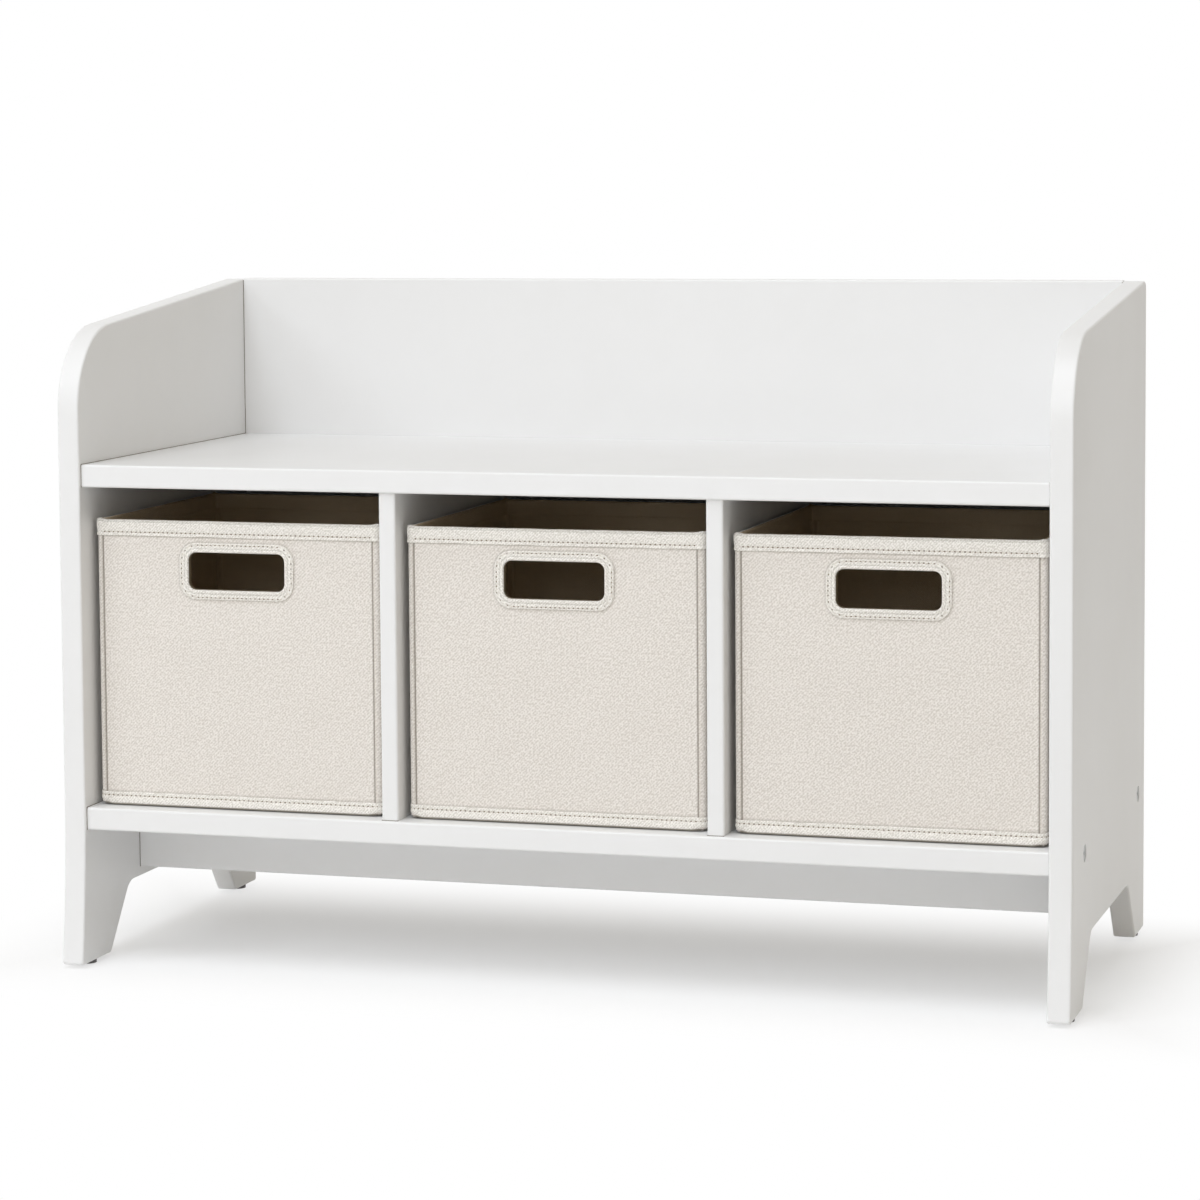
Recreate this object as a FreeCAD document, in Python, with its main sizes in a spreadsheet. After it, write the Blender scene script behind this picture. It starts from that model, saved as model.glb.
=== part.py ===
import FreeCAD, Part

# Children's storage bench: white painted boards on four short legs, with a raised back and sides,
# and three fabric bins. Millimetres. Z is up, the front looks along -Y, and the origin lies on the
# floor in the middle of the footprint.

import os
import re

import Sketcher

SHEET = "Sizes"

# Every size that can be set by itself, with its plain-number value.
SIZES = (
    ("cabinet_width", 900.0, "overall width over the side panels"),
    ("cabinet_height", 600.0, "floor to the top of the back"),
    ("side_depth", 400.0, "side panel from its straight front edge to its back edge"),
    ("side_board", 20.0, "thickness of a side panel"),
    ("shelf_board", 20.0, "thickness of the bench top and the bottom shelf"),
    ("divider_board", 15.0, "thickness of a divider"),
    ("back_board", 12.0, "thickness of the upper back panel"),
    ("rear_sheet", 4.0, "thickness of the sheet behind the bins"),
    ("apron_board", 18.0, "thickness of the apron rail"),
    ("edge_round", 2.0, "rounding of the boards' edges that a hand meets"),
    ("arris", 0.6, "softening of the boards' ends, which leaves a fine line along each joint"),
    ("bench_height", 448.0, "floor to the top face of the bench top"),
    ("lower_shelf_height", 143.0, "floor to the top face of the bottom shelf"),
    ("top_drop", 37.0, "how far a side panel's top edge falls from back to front"),
    ("front_corner_radius", 75.0, "front top corner of a side panel"),
    ("back_corner_radius", 8.0, "back top corner of a side panel"),
    ("leg_flare", 10.0, "how far a front leg's toe stands forward"),
    ("flare_height", 150.0, "height at which that flare starts"),
    ("leg_foot", 52.0, "a leg's depth at the floor, without the flare"),
    ("leg_root", 95.0, "a leg's depth where it meets the arch"),
    ("arch_height", 60.0, "floor to the arch between the legs"),
    ("arch_radius", 20.0, "corners of the arch"),
    ("foot_radius", 3.0, "corners of a leg at the floor"),
    ("shelf_setback", 4.0, "bench top and bottom shelf behind the side panels' front edge"),
    ("divider_setback", 8.0, "dividers behind the side panels' front edge"),
    ("apron_setback", 118.0, "apron rail behind the side panels' front edge"),
    ("apron_height", 54.0, "height of the apron rail"),
    ("glide_height", 3.0, "glide under each leg"),
    ("glide_radius", 8.5, "glide"),
    ("glide_nail_radius", 1.2, "nail of a glide"),
    ("glide_nail_length", 16.0, "nail of a glide above its disc"),
    ("front_fixing_inset", 62.0, "front row of fittings behind the side panels' front edge"),
    ("back_fixing_inset", 38.0, "back row of fittings ahead of the side panels' back edge"),
    ("bolt_radius", 3.0, "shank of a connector bolt and of a cam bolt's thread"),
    ("bolt_head_radius", 7.5, "head of a connector bolt"),
    ("bolt_head_height", 2.2, "head of a connector bolt"),
    ("bolt_head_recess", 3.0, "depth of the recess for that head"),
    ("bolt_reach", 36.0, "barrel nut's axis behind the end of the bottom shelf"),
    ("bolt_tip", 8.0, "connector bolt past the barrel nut's axis"),
    ("bolt_socket_flats", 4.0, "hexagon socket across its flats"),
    ("bolt_socket_depth", 1.6, "hexagon socket"),
    ("nut_radius", 5.0, "barrel nut"),
    ("nut_length", 13.0, "barrel nut"),
    ("cam_radius", 7.5, "cam lock"),
    ("cam_height", 15.0, "cam lock"),
    ("cam_reach", 34.0, "cam lock's axis behind the end of the bench top"),
    ("cam_shank_radius", 2.6, "shank of a cam bolt in the bench top"),
    ("cam_tip_radius", 3.4, "head of a cam bolt inside its lock"),
    ("cam_tip_length", 4.0, "head of a cam bolt inside its lock"),
    ("cam_mouth_radius", 4.0, "mouth of a cam lock for the bolt's head"),
    ("cam_thread_length", 12.0, "thread of a cam bolt in the side panel"),
    ("cam_cross_width", 2.0, "screwdriver cross in a cam lock"),
    ("cam_cross_depth", 2.0, "screwdriver cross in a cam lock"),
    ("dowel_radius", 4.0, "large dowel"),
    ("dowel_in_side", 12.0, "large dowel's length in the board that it stands on"),
    ("dowel_in_end", 18.0, "large dowel's length in the other board"),
    ("dowel_chamfer", 1.0, "ends of all dowels"),
    ("pin_radius", 3.0, "small dowel"),
    ("pin_in_side", 9.0, "small dowel's length in the board that it stands on"),
    ("pin_in_end", 15.0, "small dowel's length in the other board"),
    ("glue_room", 1.0, "room at each end of a dowel's hole"),
    ("screw_radius", 2.0, "shank of a countersunk screw"),
    ("screw_head_radius", 4.0, "head of a countersunk screw"),
    ("screw_head_height", 2.4, "head of a countersunk screw"),
    ("screw_bite", 26.0, "countersunk screw's length in the second board"),
    ("screw_socket_width", 1.2, "cross recess of a screw"),
    ("screw_socket_depth", 1.2, "cross recess of a screw"),
    ("tack_radius", 1.4, "shank of a rear sheet screw"),
    ("tack_head_radius", 3.0, "head of a rear sheet screw"),
    ("tack_head_height", 1.6, "head of a rear sheet screw"),
    ("tack_bite", 12.0, "rear sheet screw's length in the boards"),
    ("fit_slack", 0.1, "clearance round a fitting in its hole"),
    ("seam_gap", 0.3, "hairline joint between boards that only stand beside each other"),
    ("overrun", 2.0, "how far a cutting tool passes a face"),
    ("bin_setback", 22.0, "bins' front behind the side panels' front edge"),
    ("bin_side_gap", 4.8, "free room on each side of a bin"),
    ("bin_head_room", 29.7, "free room between a bin's rim and the bench top"),
    ("bin_lift", 0.3, "clearance between a bin and the bottom shelf"),
    ("bin_corner", 6.0, "upright corners of a bin"),
    ("binding", 1.0, "thickness of the sewn bindings and of the handle patch"),
    ("canvas", 1.2, "thickness of the outer canvas"),
    ("stiffener", 2.5, "thickness of the boards in a bin"),
    ("lining", 0.8, "thickness of the lining"),
    ("fold_room", 5.0, "gap between a bin's corner and its stiffener boards"),
    ("rim_band", 14.0, "height of the rim binding"),
    ("foot_band", 12.0, "height of the binding round the foot"),
    ("foot_turn", 10.0, "how far the foot binding is turned in under the base"),
    ("handle_width", 90.0, "hand slot"),
    ("handle_height", 33.0, "hand slot"),
    ("handle_radius", 7.0, "corners of the hand slot"),
    ("handle_drop", 27.5, "hand slot's upper edge below the rim"),
    ("patch_border", 8.5, "handle patch round the slot"),
)

# Places that follow from those sizes. They are cells too, so that every feature can read them.
PLACES = (
    ("half_width", "cabinet_width / 2"),
    ("inner_half", "cabinet_width / 2 - side_board"),
    ("front_y", "-(side_depth - leg_flare) / 2"),
    ("back_y", "(side_depth + leg_flare) / 2"),
    ("toe_y", "front_y - leg_flare"),
    ("corner_z", "cabinet_height - top_drop"),
    ("front_foot_y", "front_y + leg_foot"),
    ("front_root_y", "front_y + leg_root"),
    ("back_root_y", "back_y - leg_root"),
    ("back_foot_y", "back_y - leg_foot"),
    ("boards_back_y", "back_y - back_board"),
    ("bench_under", "bench_height - shelf_board"),
    ("bench_middle", "bench_height - shelf_board / 2"),
    ("lower_under", "lower_shelf_height - shelf_board"),
    ("lower_middle", "lower_shelf_height - shelf_board / 2"),
    ("shelf_front_y", "front_y + shelf_setback"),
    ("shelf_depth", "boards_back_y - shelf_front_y"),
    ("divider_front_y", "front_y + divider_setback"),
    ("bay_width", "(cabinet_width - 2 * side_board - 2 * divider_board) / 3"),
    ("bay_height", "bench_under - lower_shelf_height"),
    ("bay_pitch", "bay_width + divider_board"),
    ("divider_x", "(bay_width + divider_board) / 2"),
    ("apron_front_y", "front_y + apron_setback"),
    ("apron_middle_y", "apron_front_y + apron_board / 2"),
    ("apron_bottom", "lower_under - apron_height"),
    ("rear_height", "bench_under - lower_under - seam_gap"),
    ("back_height", "cabinet_height - bench_under"),
    ("back_middle_y", "back_y - back_board / 2"),
    ("front_fixing_y", "front_y + front_fixing_inset"),
    ("back_fixing_y", "back_y - back_fixing_inset"),
    ("middle_fixing_y", "(front_fixing_y + back_fixing_y) / 2"),
    ("bin_width", "bay_width - 2 * bin_side_gap"),
    ("bin_half", "bin_width / 2"),
    ("bin_front_y", "front_y + bin_setback"),
    ("bin_depth", "bin_width"),
    ("bin_floor", "lower_shelf_height + bin_lift"),
    ("bin_rim", "bench_under - bin_head_room"),
    ("canvas_half", "bin_half - binding"),
    ("canvas_front_y", "bin_front_y + binding"),
    ("canvas_depth", "bin_depth - 2 * binding"),
    ("canvas_floor", "bin_floor + binding"),
    ("canvas_rim", "bin_rim - binding"),
    ("stiff_half", "canvas_half - canvas"),
    ("stiff_front_y", "canvas_front_y + canvas"),
    ("stiff_depth", "canvas_depth - 2 * canvas"),
    ("stiff_floor", "canvas_floor + canvas"),
    ("lining_half", "stiff_half - stiffener"),
    ("lining_front_y", "stiff_front_y + stiffener"),
    ("lining_depth", "stiff_depth - 2 * stiffener"),
    ("lining_floor", "stiff_floor + stiffener"),
    ("cavity_half", "lining_half - lining"),
    ("cavity_front_y", "lining_front_y + lining"),
    ("cavity_depth", "lining_depth - 2 * lining"),
    ("mouth_half", "cavity_half - binding"),
    ("mouth_front_y", "cavity_front_y + binding"),
    ("mouth_depth", "cavity_depth - 2 * binding"),
    ("handle_top", "bin_rim - handle_drop"),
    ("handle_bottom", "handle_top - handle_height"),
)

# Shares along a board's length at which its rows of screws and dowels stand.
REAR_EDGE_SHARES = (0.06, 0.28, 0.5, 0.72, 0.94)
BACK_PIN_SHARES = (0.35, 0.8)
APRON_DOWEL_SHARES = (0.3, 0.72)
SHEET_SCREW_SHARES = (0.2, 0.8)

X_AXIS = FreeCAD.Vector(1, 0, 0)
Y_AXIS = FreeCAD.Vector(0, 1, 0)
Z_AXIS = FreeCAD.Vector(0, 0, 1)
TOWARDS = {
    "+X": FreeCAD.Rotation(Z_AXIS, X_AXIS),
    "-X": FreeCAD.Rotation(Z_AXIS, -X_AXIS),
    "+Y": FreeCAD.Rotation(Z_AXIS, Y_AXIS),
    "-Y": FreeCAD.Rotation(Z_AXIS, -Y_AXIS),
    "+Z": FreeCAD.Rotation(),
    "-Z": FreeCAD.Rotation(X_AXIS, 180),
}

doc = FreeCAD.newDocument("StorageBench")
sheet = doc.addObject("Spreadsheet::Sheet", SHEET)
nodes = []


def fill_sheet():
    """Writes the sizes as plain numbers and the places as formulas, each cell with its alias."""
    for row, (alias, value, words) in enumerate(SIZES, start=1):
        sheet.set(f"A{row}", str(value))
        sheet.setAlias(f"A{row}", alias)
        sheet.set(f"B{row}", words)
    for row, (alias, formula) in enumerate(PLACES, start=len(SIZES) + 1):
        sheet.set(f"A{row}", "=" + formula)
        sheet.setAlias(f"A{row}", alias)
    doc.recompute()


def bound(text):
    """An expression in which every word that is a cell's alias reads that cell."""
    aliases = {entry[0] for entry in SIZES + PLACES}

    def read(match):
        word = match.group()
        return f"{SHEET}.{word}" if word in aliases else word

    return re.sub("[a-z][a-z0-9_]*", read, text)


def size(alias):
    """The present value of one cell, for picking edges and laying out a sketch."""
    return float(sheet.get(alias))


def bind(item, **texts):
    """Binds the named properties of an object to expressions."""
    for name, text in texts.items():
        item.setExpression(name, bound(text))


def place(item, x="0", y="0", z="0"):
    """Binds an object's position, word by word, to expressions."""
    for letter, text in (("x", x), ("y", y), ("z", z)):
        item.setExpression(f".Placement.Base.{letter}", bound(text))


def keep(item, name):
    """Marks an object as a finished piece under the name of its node."""
    item.Label = name
    nodes.append(item)
    return item


def block(body, name, kind, low, high):
    """A box in a body, added or taken away, from one corner's expressions to the other's."""
    box = body.newObject(f"PartDesign::{kind}Box", name)
    spans = [f"( {top} ) - ( {bottom} )" for bottom, top in zip(low, high)]
    bind(box, Length=spans[0], Width=spans[1], Height=spans[2])
    place(box, *low)
    doc.recompute()
    return box


def fillet(body, name, radius, wanted):
    """Rounds the edges of a body that the test picks, by a radius from the sheet."""
    base = body.Tip
    picked = [f"Edge{i}" for i, edge in enumerate(base.Shape.Edges, start=1) if wanted(edge)]
    if not picked:
        raise RuntimeError(f"{name}: no edge to round")
    item = body.newObject("PartDesign::Fillet", name)
    item.Base = (base, picked)
    bind(item, Radius=radius)
    doc.recompute()
    return item


def along(edge, axis):
    """Whether an edge is straight and runs along an axis."""
    return isinstance(edge.Curve, Part.Line) and abs(edge.Curve.Direction.dot(axis)) > 0.999


def same(value, other):
    """Whether two coordinates agree, within a share of the smallest clearance."""
    return abs(value - other) < size("fit_slack") / 2


def near(value, alias):
    """Whether a coordinate lies on the place that a cell names."""
    return same(value, size(alias))


def limits(box):
    """A box feature's two corners, in its body."""
    low = box.Placement.Base
    return low, low + FreeCAD.Vector(box.Length.Value, box.Width.Value, box.Height.Value)


def corner_edges(box, axis):
    """A test that picks the four edges of a box along an axis, whatever else its body holds."""
    low, high = limits(box)
    letters = [letter for letter in "xyz" if abs(getattr(axis, letter)) < 0.5]

    def wanted(edge):
        middle = edge.CenterOfMass
        spots = [getattr(middle, letter) for letter in letters]
        ends = [(getattr(low, letter), getattr(high, letter)) for letter in letters]
        return along(edge, axis) and all(same(s, a) or same(s, b) for s, (a, b) in zip(spots, ends))

    return wanted


def end_edges(box, letter):
    """A test that picks the edges round a board's two ends, which lie across the axis with this letter."""
    low, high = limits(box)
    ends = (getattr(low, letter), getattr(high, letter))

    def wanted(edge):
        spots = [getattr(vertex.Point, letter) for vertex in edge.Vertexes]
        return any(all(same(spot, end) for spot in spots) for end in ends)

    return wanted


def new_body(name, label=None):
    body = doc.addObject("PartDesign::Body", name)
    body.Label = label or name
    return body


def master(name, parts, cut=()):
    """One fitting, or the tool for its hole: parts fused, recesses cut. It stands at the origin, along Z."""
    shape = parts[0]
    if len(parts) > 1:
        shape = doc.addObject("Part::MultiFuse", name + "Solid")
        shape.Shapes = parts
    for i, tool in enumerate(cut):
        remainder = doc.addObject("Part::Cut", f"{name}Cut{i}")
        remainder.Base = shape
        remainder.Tool = tool
        shape = remainder
    return shape


def rod(name, radius, low, high, x="0", y="0", axis="+Z"):
    """A cylinder on a master's own axis, or across it, between two expressions."""
    item = doc.addObject("Part::Cylinder", name)
    bind(item, Radius=radius, Height=f"( {high} ) - ( {low} )")
    item.Placement = FreeCAD.Placement(FreeCAD.Vector(), TOWARDS[axis])
    if axis == "+X":
        place(item, low, x, y)
    elif axis == "+Y":
        place(item, x, low, y)
    else:
        place(item, x, y, low)
    return item


def slab(name, length, width, low, high):
    """A box centred on a master's axis, between two heights."""
    item = doc.addObject("Part::Box", name)
    bind(item, Length=length, Width=width, Height=f"( {high} ) - ( {low} )")
    place(item, f"-( {length} ) / 2", f"-( {width} ) / 2", low)
    return item


def taper(name, low_radius, high_radius, low, high):
    item = doc.addObject("Part::Cone", name)
    bind(item, Radius1=low_radius, Radius2=high_radius, Height=f"( {high} ) - ( {low} )")
    place(item, "0", "0", low)
    return item


def group(name, source, spots):
    """Links to one master at every spot: its place, the way its axis points, and a turn about that axis."""
    links = []
    for i, (spot, way, turn) in enumerate(spots):
        link = doc.addObject("App::Link", f"{name}At{i}")
        link.LinkedObject = source
        link.LinkTransform = True
        link.Placement = FreeCAD.Placement(FreeCAD.Vector(), TOWARDS[way] * FreeCAD.Rotation(Z_AXIS, turn))
        place(link, *spot)
        links.append(link)
    compound = doc.addObject("Part::Compound", name)
    compound.Links = links
    return compound


def drilled(board, name, tools):
    """A board with all its holes: one group of tools is cut away after the other."""
    for i, tool in enumerate(tools):
        cut = doc.addObject("Part::Cut", f"{name}Drilling{i}")
        cut.Base = board
        cut.Tool = tool
        board = cut
    return keep(board, name)


fill_sheet()


# Boards


def side_outline(body, name):
    """The side panel's outline in the YZ plane: two legs, the arch between them and the falling top edge."""
    corners = (
        ("toe_y", "glide_height"),
        ("front_foot_y", "glide_height"),
        ("front_root_y", "arch_height"),
        ("back_root_y", "arch_height"),
        ("back_foot_y", "glide_height"),
        ("back_y", "glide_height"),
        ("back_y", "cabinet_height"),
        ("front_y", "corner_z"),
        ("front_y", "flare_height"),
    )
    sketch = body.newObject("Sketcher::SketchObject", name)
    plane = next(f for f in body.Origin.OriginFeatures if f.Role == "YZ_Plane")
    sketch.AttachmentSupport = [(plane, "")]
    sketch.MapMode = "FlatFace"
    spots = [FreeCAD.Vector(size(y), size(z), 0) for y, z in corners]
    for start, end in zip(spots[:-1], spots[1:]):
        sketch.addGeometry(Part.LineSegment(start, end))
    # The flare is one arc, tangent to the front edge and ending at the toe.
    rise = size("flare_height") - size("glide_height")
    reach = (rise**2 + size("leg_flare") ** 2) / (2 * size("leg_flare"))
    slant = FreeCAD.Vector(size("front_y") - reach, size("flare_height"), 0)
    half_way = (spots[-1] + spots[0]) / 2 - slant
    middle = slant + half_way.normalize() * reach
    flare = sketch.addGeometry(Part.Arc(spots[0], middle, spots[-1]))
    last = len(spots) - 2
    for i in range(last):
        sketch.addConstraint(Sketcher.Constraint("Coincident", i, 2, i + 1, 1))
    arc = sketch.Geometry[flare]
    toe_end = 1 if arc.StartPoint.distanceToPoint(spots[0]) < size("fit_slack") else 2
    sketch.addConstraint(Sketcher.Constraint("Coincident", flare, toe_end, 0, 1))
    sketch.addConstraint(Sketcher.Constraint("Tangent", flare, 3 - toe_end, last, 2))
    for i, (y, z) in enumerate(corners):
        line, point = (i, 1) if i <= last else (last, 2)
        for kind, alias in (("DistanceX", y), ("DistanceY", z)):
            value = size(alias)
            number = sketch.addConstraint(Sketcher.Constraint(kind, -1, 1, line, point, value))
            sketch.setExpression(f"Constraints[{number}]", bound(alias))
    doc.recompute()
    return sketch


def side_panel(name, offset):
    """One side panel: the outline padded to its thickness, large corners first, then every edge softened."""
    body = new_body(name + "Board")
    sketch = side_outline(body, name + "Outline")
    sketch.setExpression(".AttachmentOffset.Base.z", bound(offset))
    pad = body.newObject("PartDesign::Pad", name + "Pad")
    pad.Profile = sketch
    bind(pad, Length="side_board")
    sketch.Visibility = False
    doc.recompute()

    def corner(*places):
        return lambda edge: along(edge, X_AXIS) and any(
            near(edge.CenterOfMass.y, y) and near(edge.CenterOfMass.z, z) for y, z in places
        )

    fillet(body, name + "FrontCorner", "front_corner_radius", corner(("front_y", "corner_z")))
    fillet(body, name + "BackCorner", "back_corner_radius", corner(("back_y", "cabinet_height")))
    arch = corner(("front_root_y", "arch_height"), ("back_root_y", "arch_height"))
    fillet(body, name + "ArchCorners", "arch_radius", arch)
    feet = corner(*((y, "glide_height") for y in ("toe_y", "front_foot_y", "back_foot_y", "back_y")))
    fillet(body, name + "FootCorners", "foot_radius", feet)
    fillet(body, name + "Edges", "edge_round", lambda edge: not along(edge, X_AXIS))
    return body


def long_edges(letter, alias):
    """A test that picks the edges across the bench at one place along Y or Z."""
    return lambda edge: along(edge, X_AXIS) and near(getattr(edge.CenterOfMass, letter), alias)


def shelf(name, low, high):
    body = new_body(name + "Board")
    corners = ("-inner_half", "shelf_front_y", low), ("inner_half", "boards_back_y", high)
    box = block(body, name + "Box", "Additive", *corners)
    fillet(body, name + "FrontEdges", "edge_round", long_edges("y", "shelf_front_y"))
    ends = end_edges(box, "x")
    rear = long_edges("y", "boards_back_y")
    fillet(body, name + "Arrises", "arris", lambda edge: ends(edge) or rear(edge))
    return body


def divider(name, side):
    """A divider: its middle plane stands half a divider past the middle bay."""
    middle = f"{side} * divider_x"
    low = (f"{middle} - divider_board / 2", "divider_front_y", "lower_shelf_height")
    high = (f"{middle} + divider_board / 2", "boards_back_y", "bench_under")
    body = new_body(name + "Board")
    box = block(body, name + "Box", "Additive", low, high)
    front = lambda edge: along(edge, Z_AXIS) and near(edge.CenterOfMass.y, "divider_front_y")
    fillet(body, name + "FrontEdges", "edge_round", front)
    fillet(body, name + "Arrises", "arris", end_edges(box, "z"))
    return body


def upper_back():
    body = new_body("UpperBackBoard")
    low = ("-inner_half", "boards_back_y", "bench_under")
    box = block(body, "UpperBackBox", "Additive", low, ("inner_half", "back_y", "cabinet_height"))
    fillet(body, "UpperBackEdges", "edge_round", long_edges("z", "cabinet_height"))
    fillet(body, "UpperBackArrises", "arris", end_edges(box, "x"))
    return body


def rear_sheet():
    body = new_body("RearSheetBoard")
    low = ("-inner_half + seam_gap", "boards_back_y", "lower_under")
    high = ("inner_half - seam_gap", "boards_back_y + rear_sheet", "lower_under + rear_height")
    block(body, "RearSheetBox", "Additive", low, high)
    return body


def apron():
    body = new_body("ApronBoard")
    low = ("-inner_half", "apron_front_y", "apron_bottom")
    high = ("inner_half", "apron_front_y + apron_board", "lower_under")
    box = block(body, "ApronBox", "Additive", low, high)
    fillet(body, "ApronEdges", "edge_round", long_edges("z", "apron_bottom"))
    fillet(body, "ApronArrises", "arris", end_edges(box, "x"))
    return body


# Fittings. A master's origin lies where the two boards meet, and its +Z points into the second board.


def connector_bolt():
    seat = "-side_board + bolt_head_recess"
    head = rod("BoltHead", "bolt_head_radius", f"{seat} - bolt_head_height", seat)
    shank = rod("BoltShank", "bolt_radius", seat, "bolt_reach + bolt_tip")
    socket = doc.addObject("Part::Prism", "BoltSocket")
    socket.Polygon = 6
    bind(socket, Circumradius="bolt_socket_flats / sqrt(3)", Height="bolt_socket_depth + overrun")
    place(socket, z=f"{seat} - bolt_head_height - overrun")
    return master("ConnectorBolt", [head, shank], [socket])


def connector_hole():
    seat = "-side_board + bolt_head_recess"
    head = rod("BoltHeadHole", "bolt_head_radius + fit_slack", "-side_board - overrun", seat)
    shank = rod("BoltShankHole", "bolt_radius + fit_slack", seat, "bolt_reach + bolt_tip + glue_room")
    return master("ConnectorHole", [head, shank])


def barrel_nut(name, radius, top):
    """A barrel nut or its hole: it lies across the bolt, and the hole opens where the master's +X points."""
    return rod(name, radius, "-nut_length / 2", top, y="bolt_reach", axis="+X")


def cam_bolt():
    thread = rod("CamThread", "bolt_radius", "-cam_thread_length", "0")
    shank = rod("CamShank", "cam_shank_radius", "0", "cam_reach - cam_tip_length / 2")
    tip = rod("CamTip", "cam_tip_radius", "cam_reach - cam_tip_length / 2", "cam_reach + cam_tip_length / 2")
    return master("CamBolt", [thread, shank, tip])


def cam_bolt_hole():
    thread = rod("CamThreadHole", "bolt_radius + fit_slack", "-cam_thread_length - glue_room", "0")
    shank = rod("CamShankHole", "cam_mouth_radius", "0", "cam_reach")
    return master("CamBoltHole", [thread, shank])


def cam_lock():
    """A cam lock: it lies across its bolt, flush with the underside, with a mouth for the bolt's head."""
    foot, top = "shelf_board / 2 - cam_height", "shelf_board / 2"
    drum = rod("CamDrum", "cam_radius", foot, top, y="cam_reach", axis="+X")
    mouth = rod("CamMouth", "cam_mouth_radius", "0", "cam_reach + cam_tip_length")
    tools = [mouth]
    bars = ("cam_radius", "cam_cross_width"), ("cam_cross_width", "cam_radius")
    for i, (span_y, span_z) in enumerate(bars):
        bar = doc.addObject("Part::Box", f"CamCross{i}")
        bind(bar, Length="cam_cross_depth + overrun", Width=span_y, Height=span_z)
        place(bar, "shelf_board / 2 - cam_cross_depth", f"-{span_y} / 2", f"cam_reach - {span_z} / 2")
        tools.append(bar)
    return master("CamLock", [drum], tools)


def cam_lock_hole():
    return rod(
        "CamLockHole",
        "cam_radius + fit_slack",
        "shelf_board / 2 - cam_height - fit_slack",
        "shelf_board / 2 + overrun",
        y="cam_reach",
        axis="+X",
    )


DOWEL_SIZES = ("dowel_radius", "dowel_in_side", "dowel_in_end")
PIN_SIZES = ("pin_radius", "pin_in_side", "pin_in_end")


def dowel(name, radius, in_side, in_end):
    """A dowel with chamfered ends."""
    body = rod(name + "Rod", radius, f"-{in_side} + dowel_chamfer", f"{in_end} - dowel_chamfer")
    tip = f"{radius} - dowel_chamfer"
    tail = taper(name + "Tail", tip, radius, f"-{in_side}", f"-{in_side} + dowel_chamfer")
    nose = taper(name + "Nose", radius, tip, f"{in_end} - dowel_chamfer", in_end)
    return master(name, [body, tail, nose])


def dowel_hole(name, radius, in_side, in_end):
    return rod(name, f"{radius} + fit_slack", f"-{in_side} - glue_room", f"{in_end} + glue_room")


def countersunk_screw(name, board):
    """A screw whose head is flush with the near face of the first board, with a cross recess."""
    neck = f"-{board} + screw_head_height"
    head = taper(name + "Head", "screw_head_radius", "screw_radius", f"-{board}", neck)
    shank = rod(name + "Shank", "screw_radius", neck, "screw_bite - screw_radius")
    tip = taper(name + "Tip", "screw_radius", "screw_radius / 4", "screw_bite - screw_radius", "screw_bite")
    span, width = "screw_head_radius", "screw_socket_width"
    heights = f"-{board} - overrun", f"-{board} + screw_socket_depth"
    cross = [slab(name + "CrossA", span, width, *heights), slab(name + "CrossB", width, span, *heights)]
    return master(name, [head, shank, tip], cross)


def countersunk_hole(name, board):
    wide, narrow = "screw_head_radius + fit_slack", "screw_radius + fit_slack"
    head = taper(name + "Sink", wide, narrow, f"-{board}", f"-{board} + screw_head_height")
    mouth = rod(name + "Mouth", wide, f"-{board} - overrun", f"-{board}")
    shank = rod(name + "Bore", narrow, f"-{board}", "screw_bite + glue_room")
    return master(name, [head, mouth, shank])


def sheet_screw():
    head = rod("TackHead", "tack_head_radius", "-rear_sheet - tack_head_height", "-rear_sheet")
    shank = rod("TackShank", "tack_radius", "-rear_sheet", "tack_bite")
    heights = "-rear_sheet - tack_head_height - overrun", "-rear_sheet - tack_head_height / 2"
    slot = slab("TackSlot", "tack_head_radius", "screw_socket_width / 2", *heights)
    return master("SheetScrew", [head, shank], [slot])


def sheet_screw_hole():
    return rod("TackBore", "tack_radius + fit_slack", "-rear_sheet - overrun", "tack_bite + glue_room")


def glide():
    """A glide's disc stands on the floor and its nail in the leg. The origin lies on the leg's underside."""
    disc = rod("GlideDisc", "glide_radius", "-glide_height", "0")
    nail = rod("GlideNail", "glide_nail_radius", "0", "glide_nail_length")
    return master("Glide", [disc, nail])


def glide_hole():
    return rod("GlideBore", "glide_nail_radius + fit_slack", "-overrun", "glide_nail_length + glue_room")


# Where the fittings stand: (x, y, z) expressions, the way into the second board, and a turn about that way.


def down_turn(way):
    """The turn about its own axis that points a master's +X down, for an axis along +X or -X."""
    return 0 if TOWARDS[way].multVec(X_AXIS).z < 0 else 180


def end_rows(y_names, z):
    """Both side panels' inner faces at each Y: the second board's end lies against them."""
    return [
        ((side, y, z), way, down_turn(way))
        for y in y_names
        for side, way in (("-inner_half", "+X"), ("inner_half", "-X"))
    ]


def share_of(low, high, share):
    return f"{low} + ( {high} - {low} ) * {share}"


FIXING_ROWS = ("front_fixing_y", "back_fixing_y")
bolt_spots = end_rows(FIXING_ROWS, "lower_middle")
cam_spots = end_rows(FIXING_ROWS, "bench_middle")
apron_rows = [share_of("apron_bottom", "lower_under", share) for share in APRON_DOWEL_SHARES]
dowel_spots = end_rows(("middle_fixing_y",), "lower_middle") + end_rows(("middle_fixing_y",), "bench_middle")
for z in apron_rows:
    dowel_spots += end_rows(("apron_middle_y",), z)
divider_columns = ("-divider_x", "divider_x")
pin_spots = [((x, y, "bench_under"), "-Z", 0) for x in divider_columns for y in FIXING_ROWS]
for share in BACK_PIN_SHARES:
    pin_spots += end_rows(("back_middle_y",), share_of("bench_height", "cabinet_height", share))
rear_columns = [share_of("-inner_half", "inner_half", share) for share in REAR_EDGE_SHARES]
back_spots = [((x, "boards_back_y", "bench_middle"), "-Y", 0) for x in rear_columns]
divider_spots = [((x, y, "lower_shelf_height"), "+Z", 0) for x in divider_columns for y in FIXING_ROWS]
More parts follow.
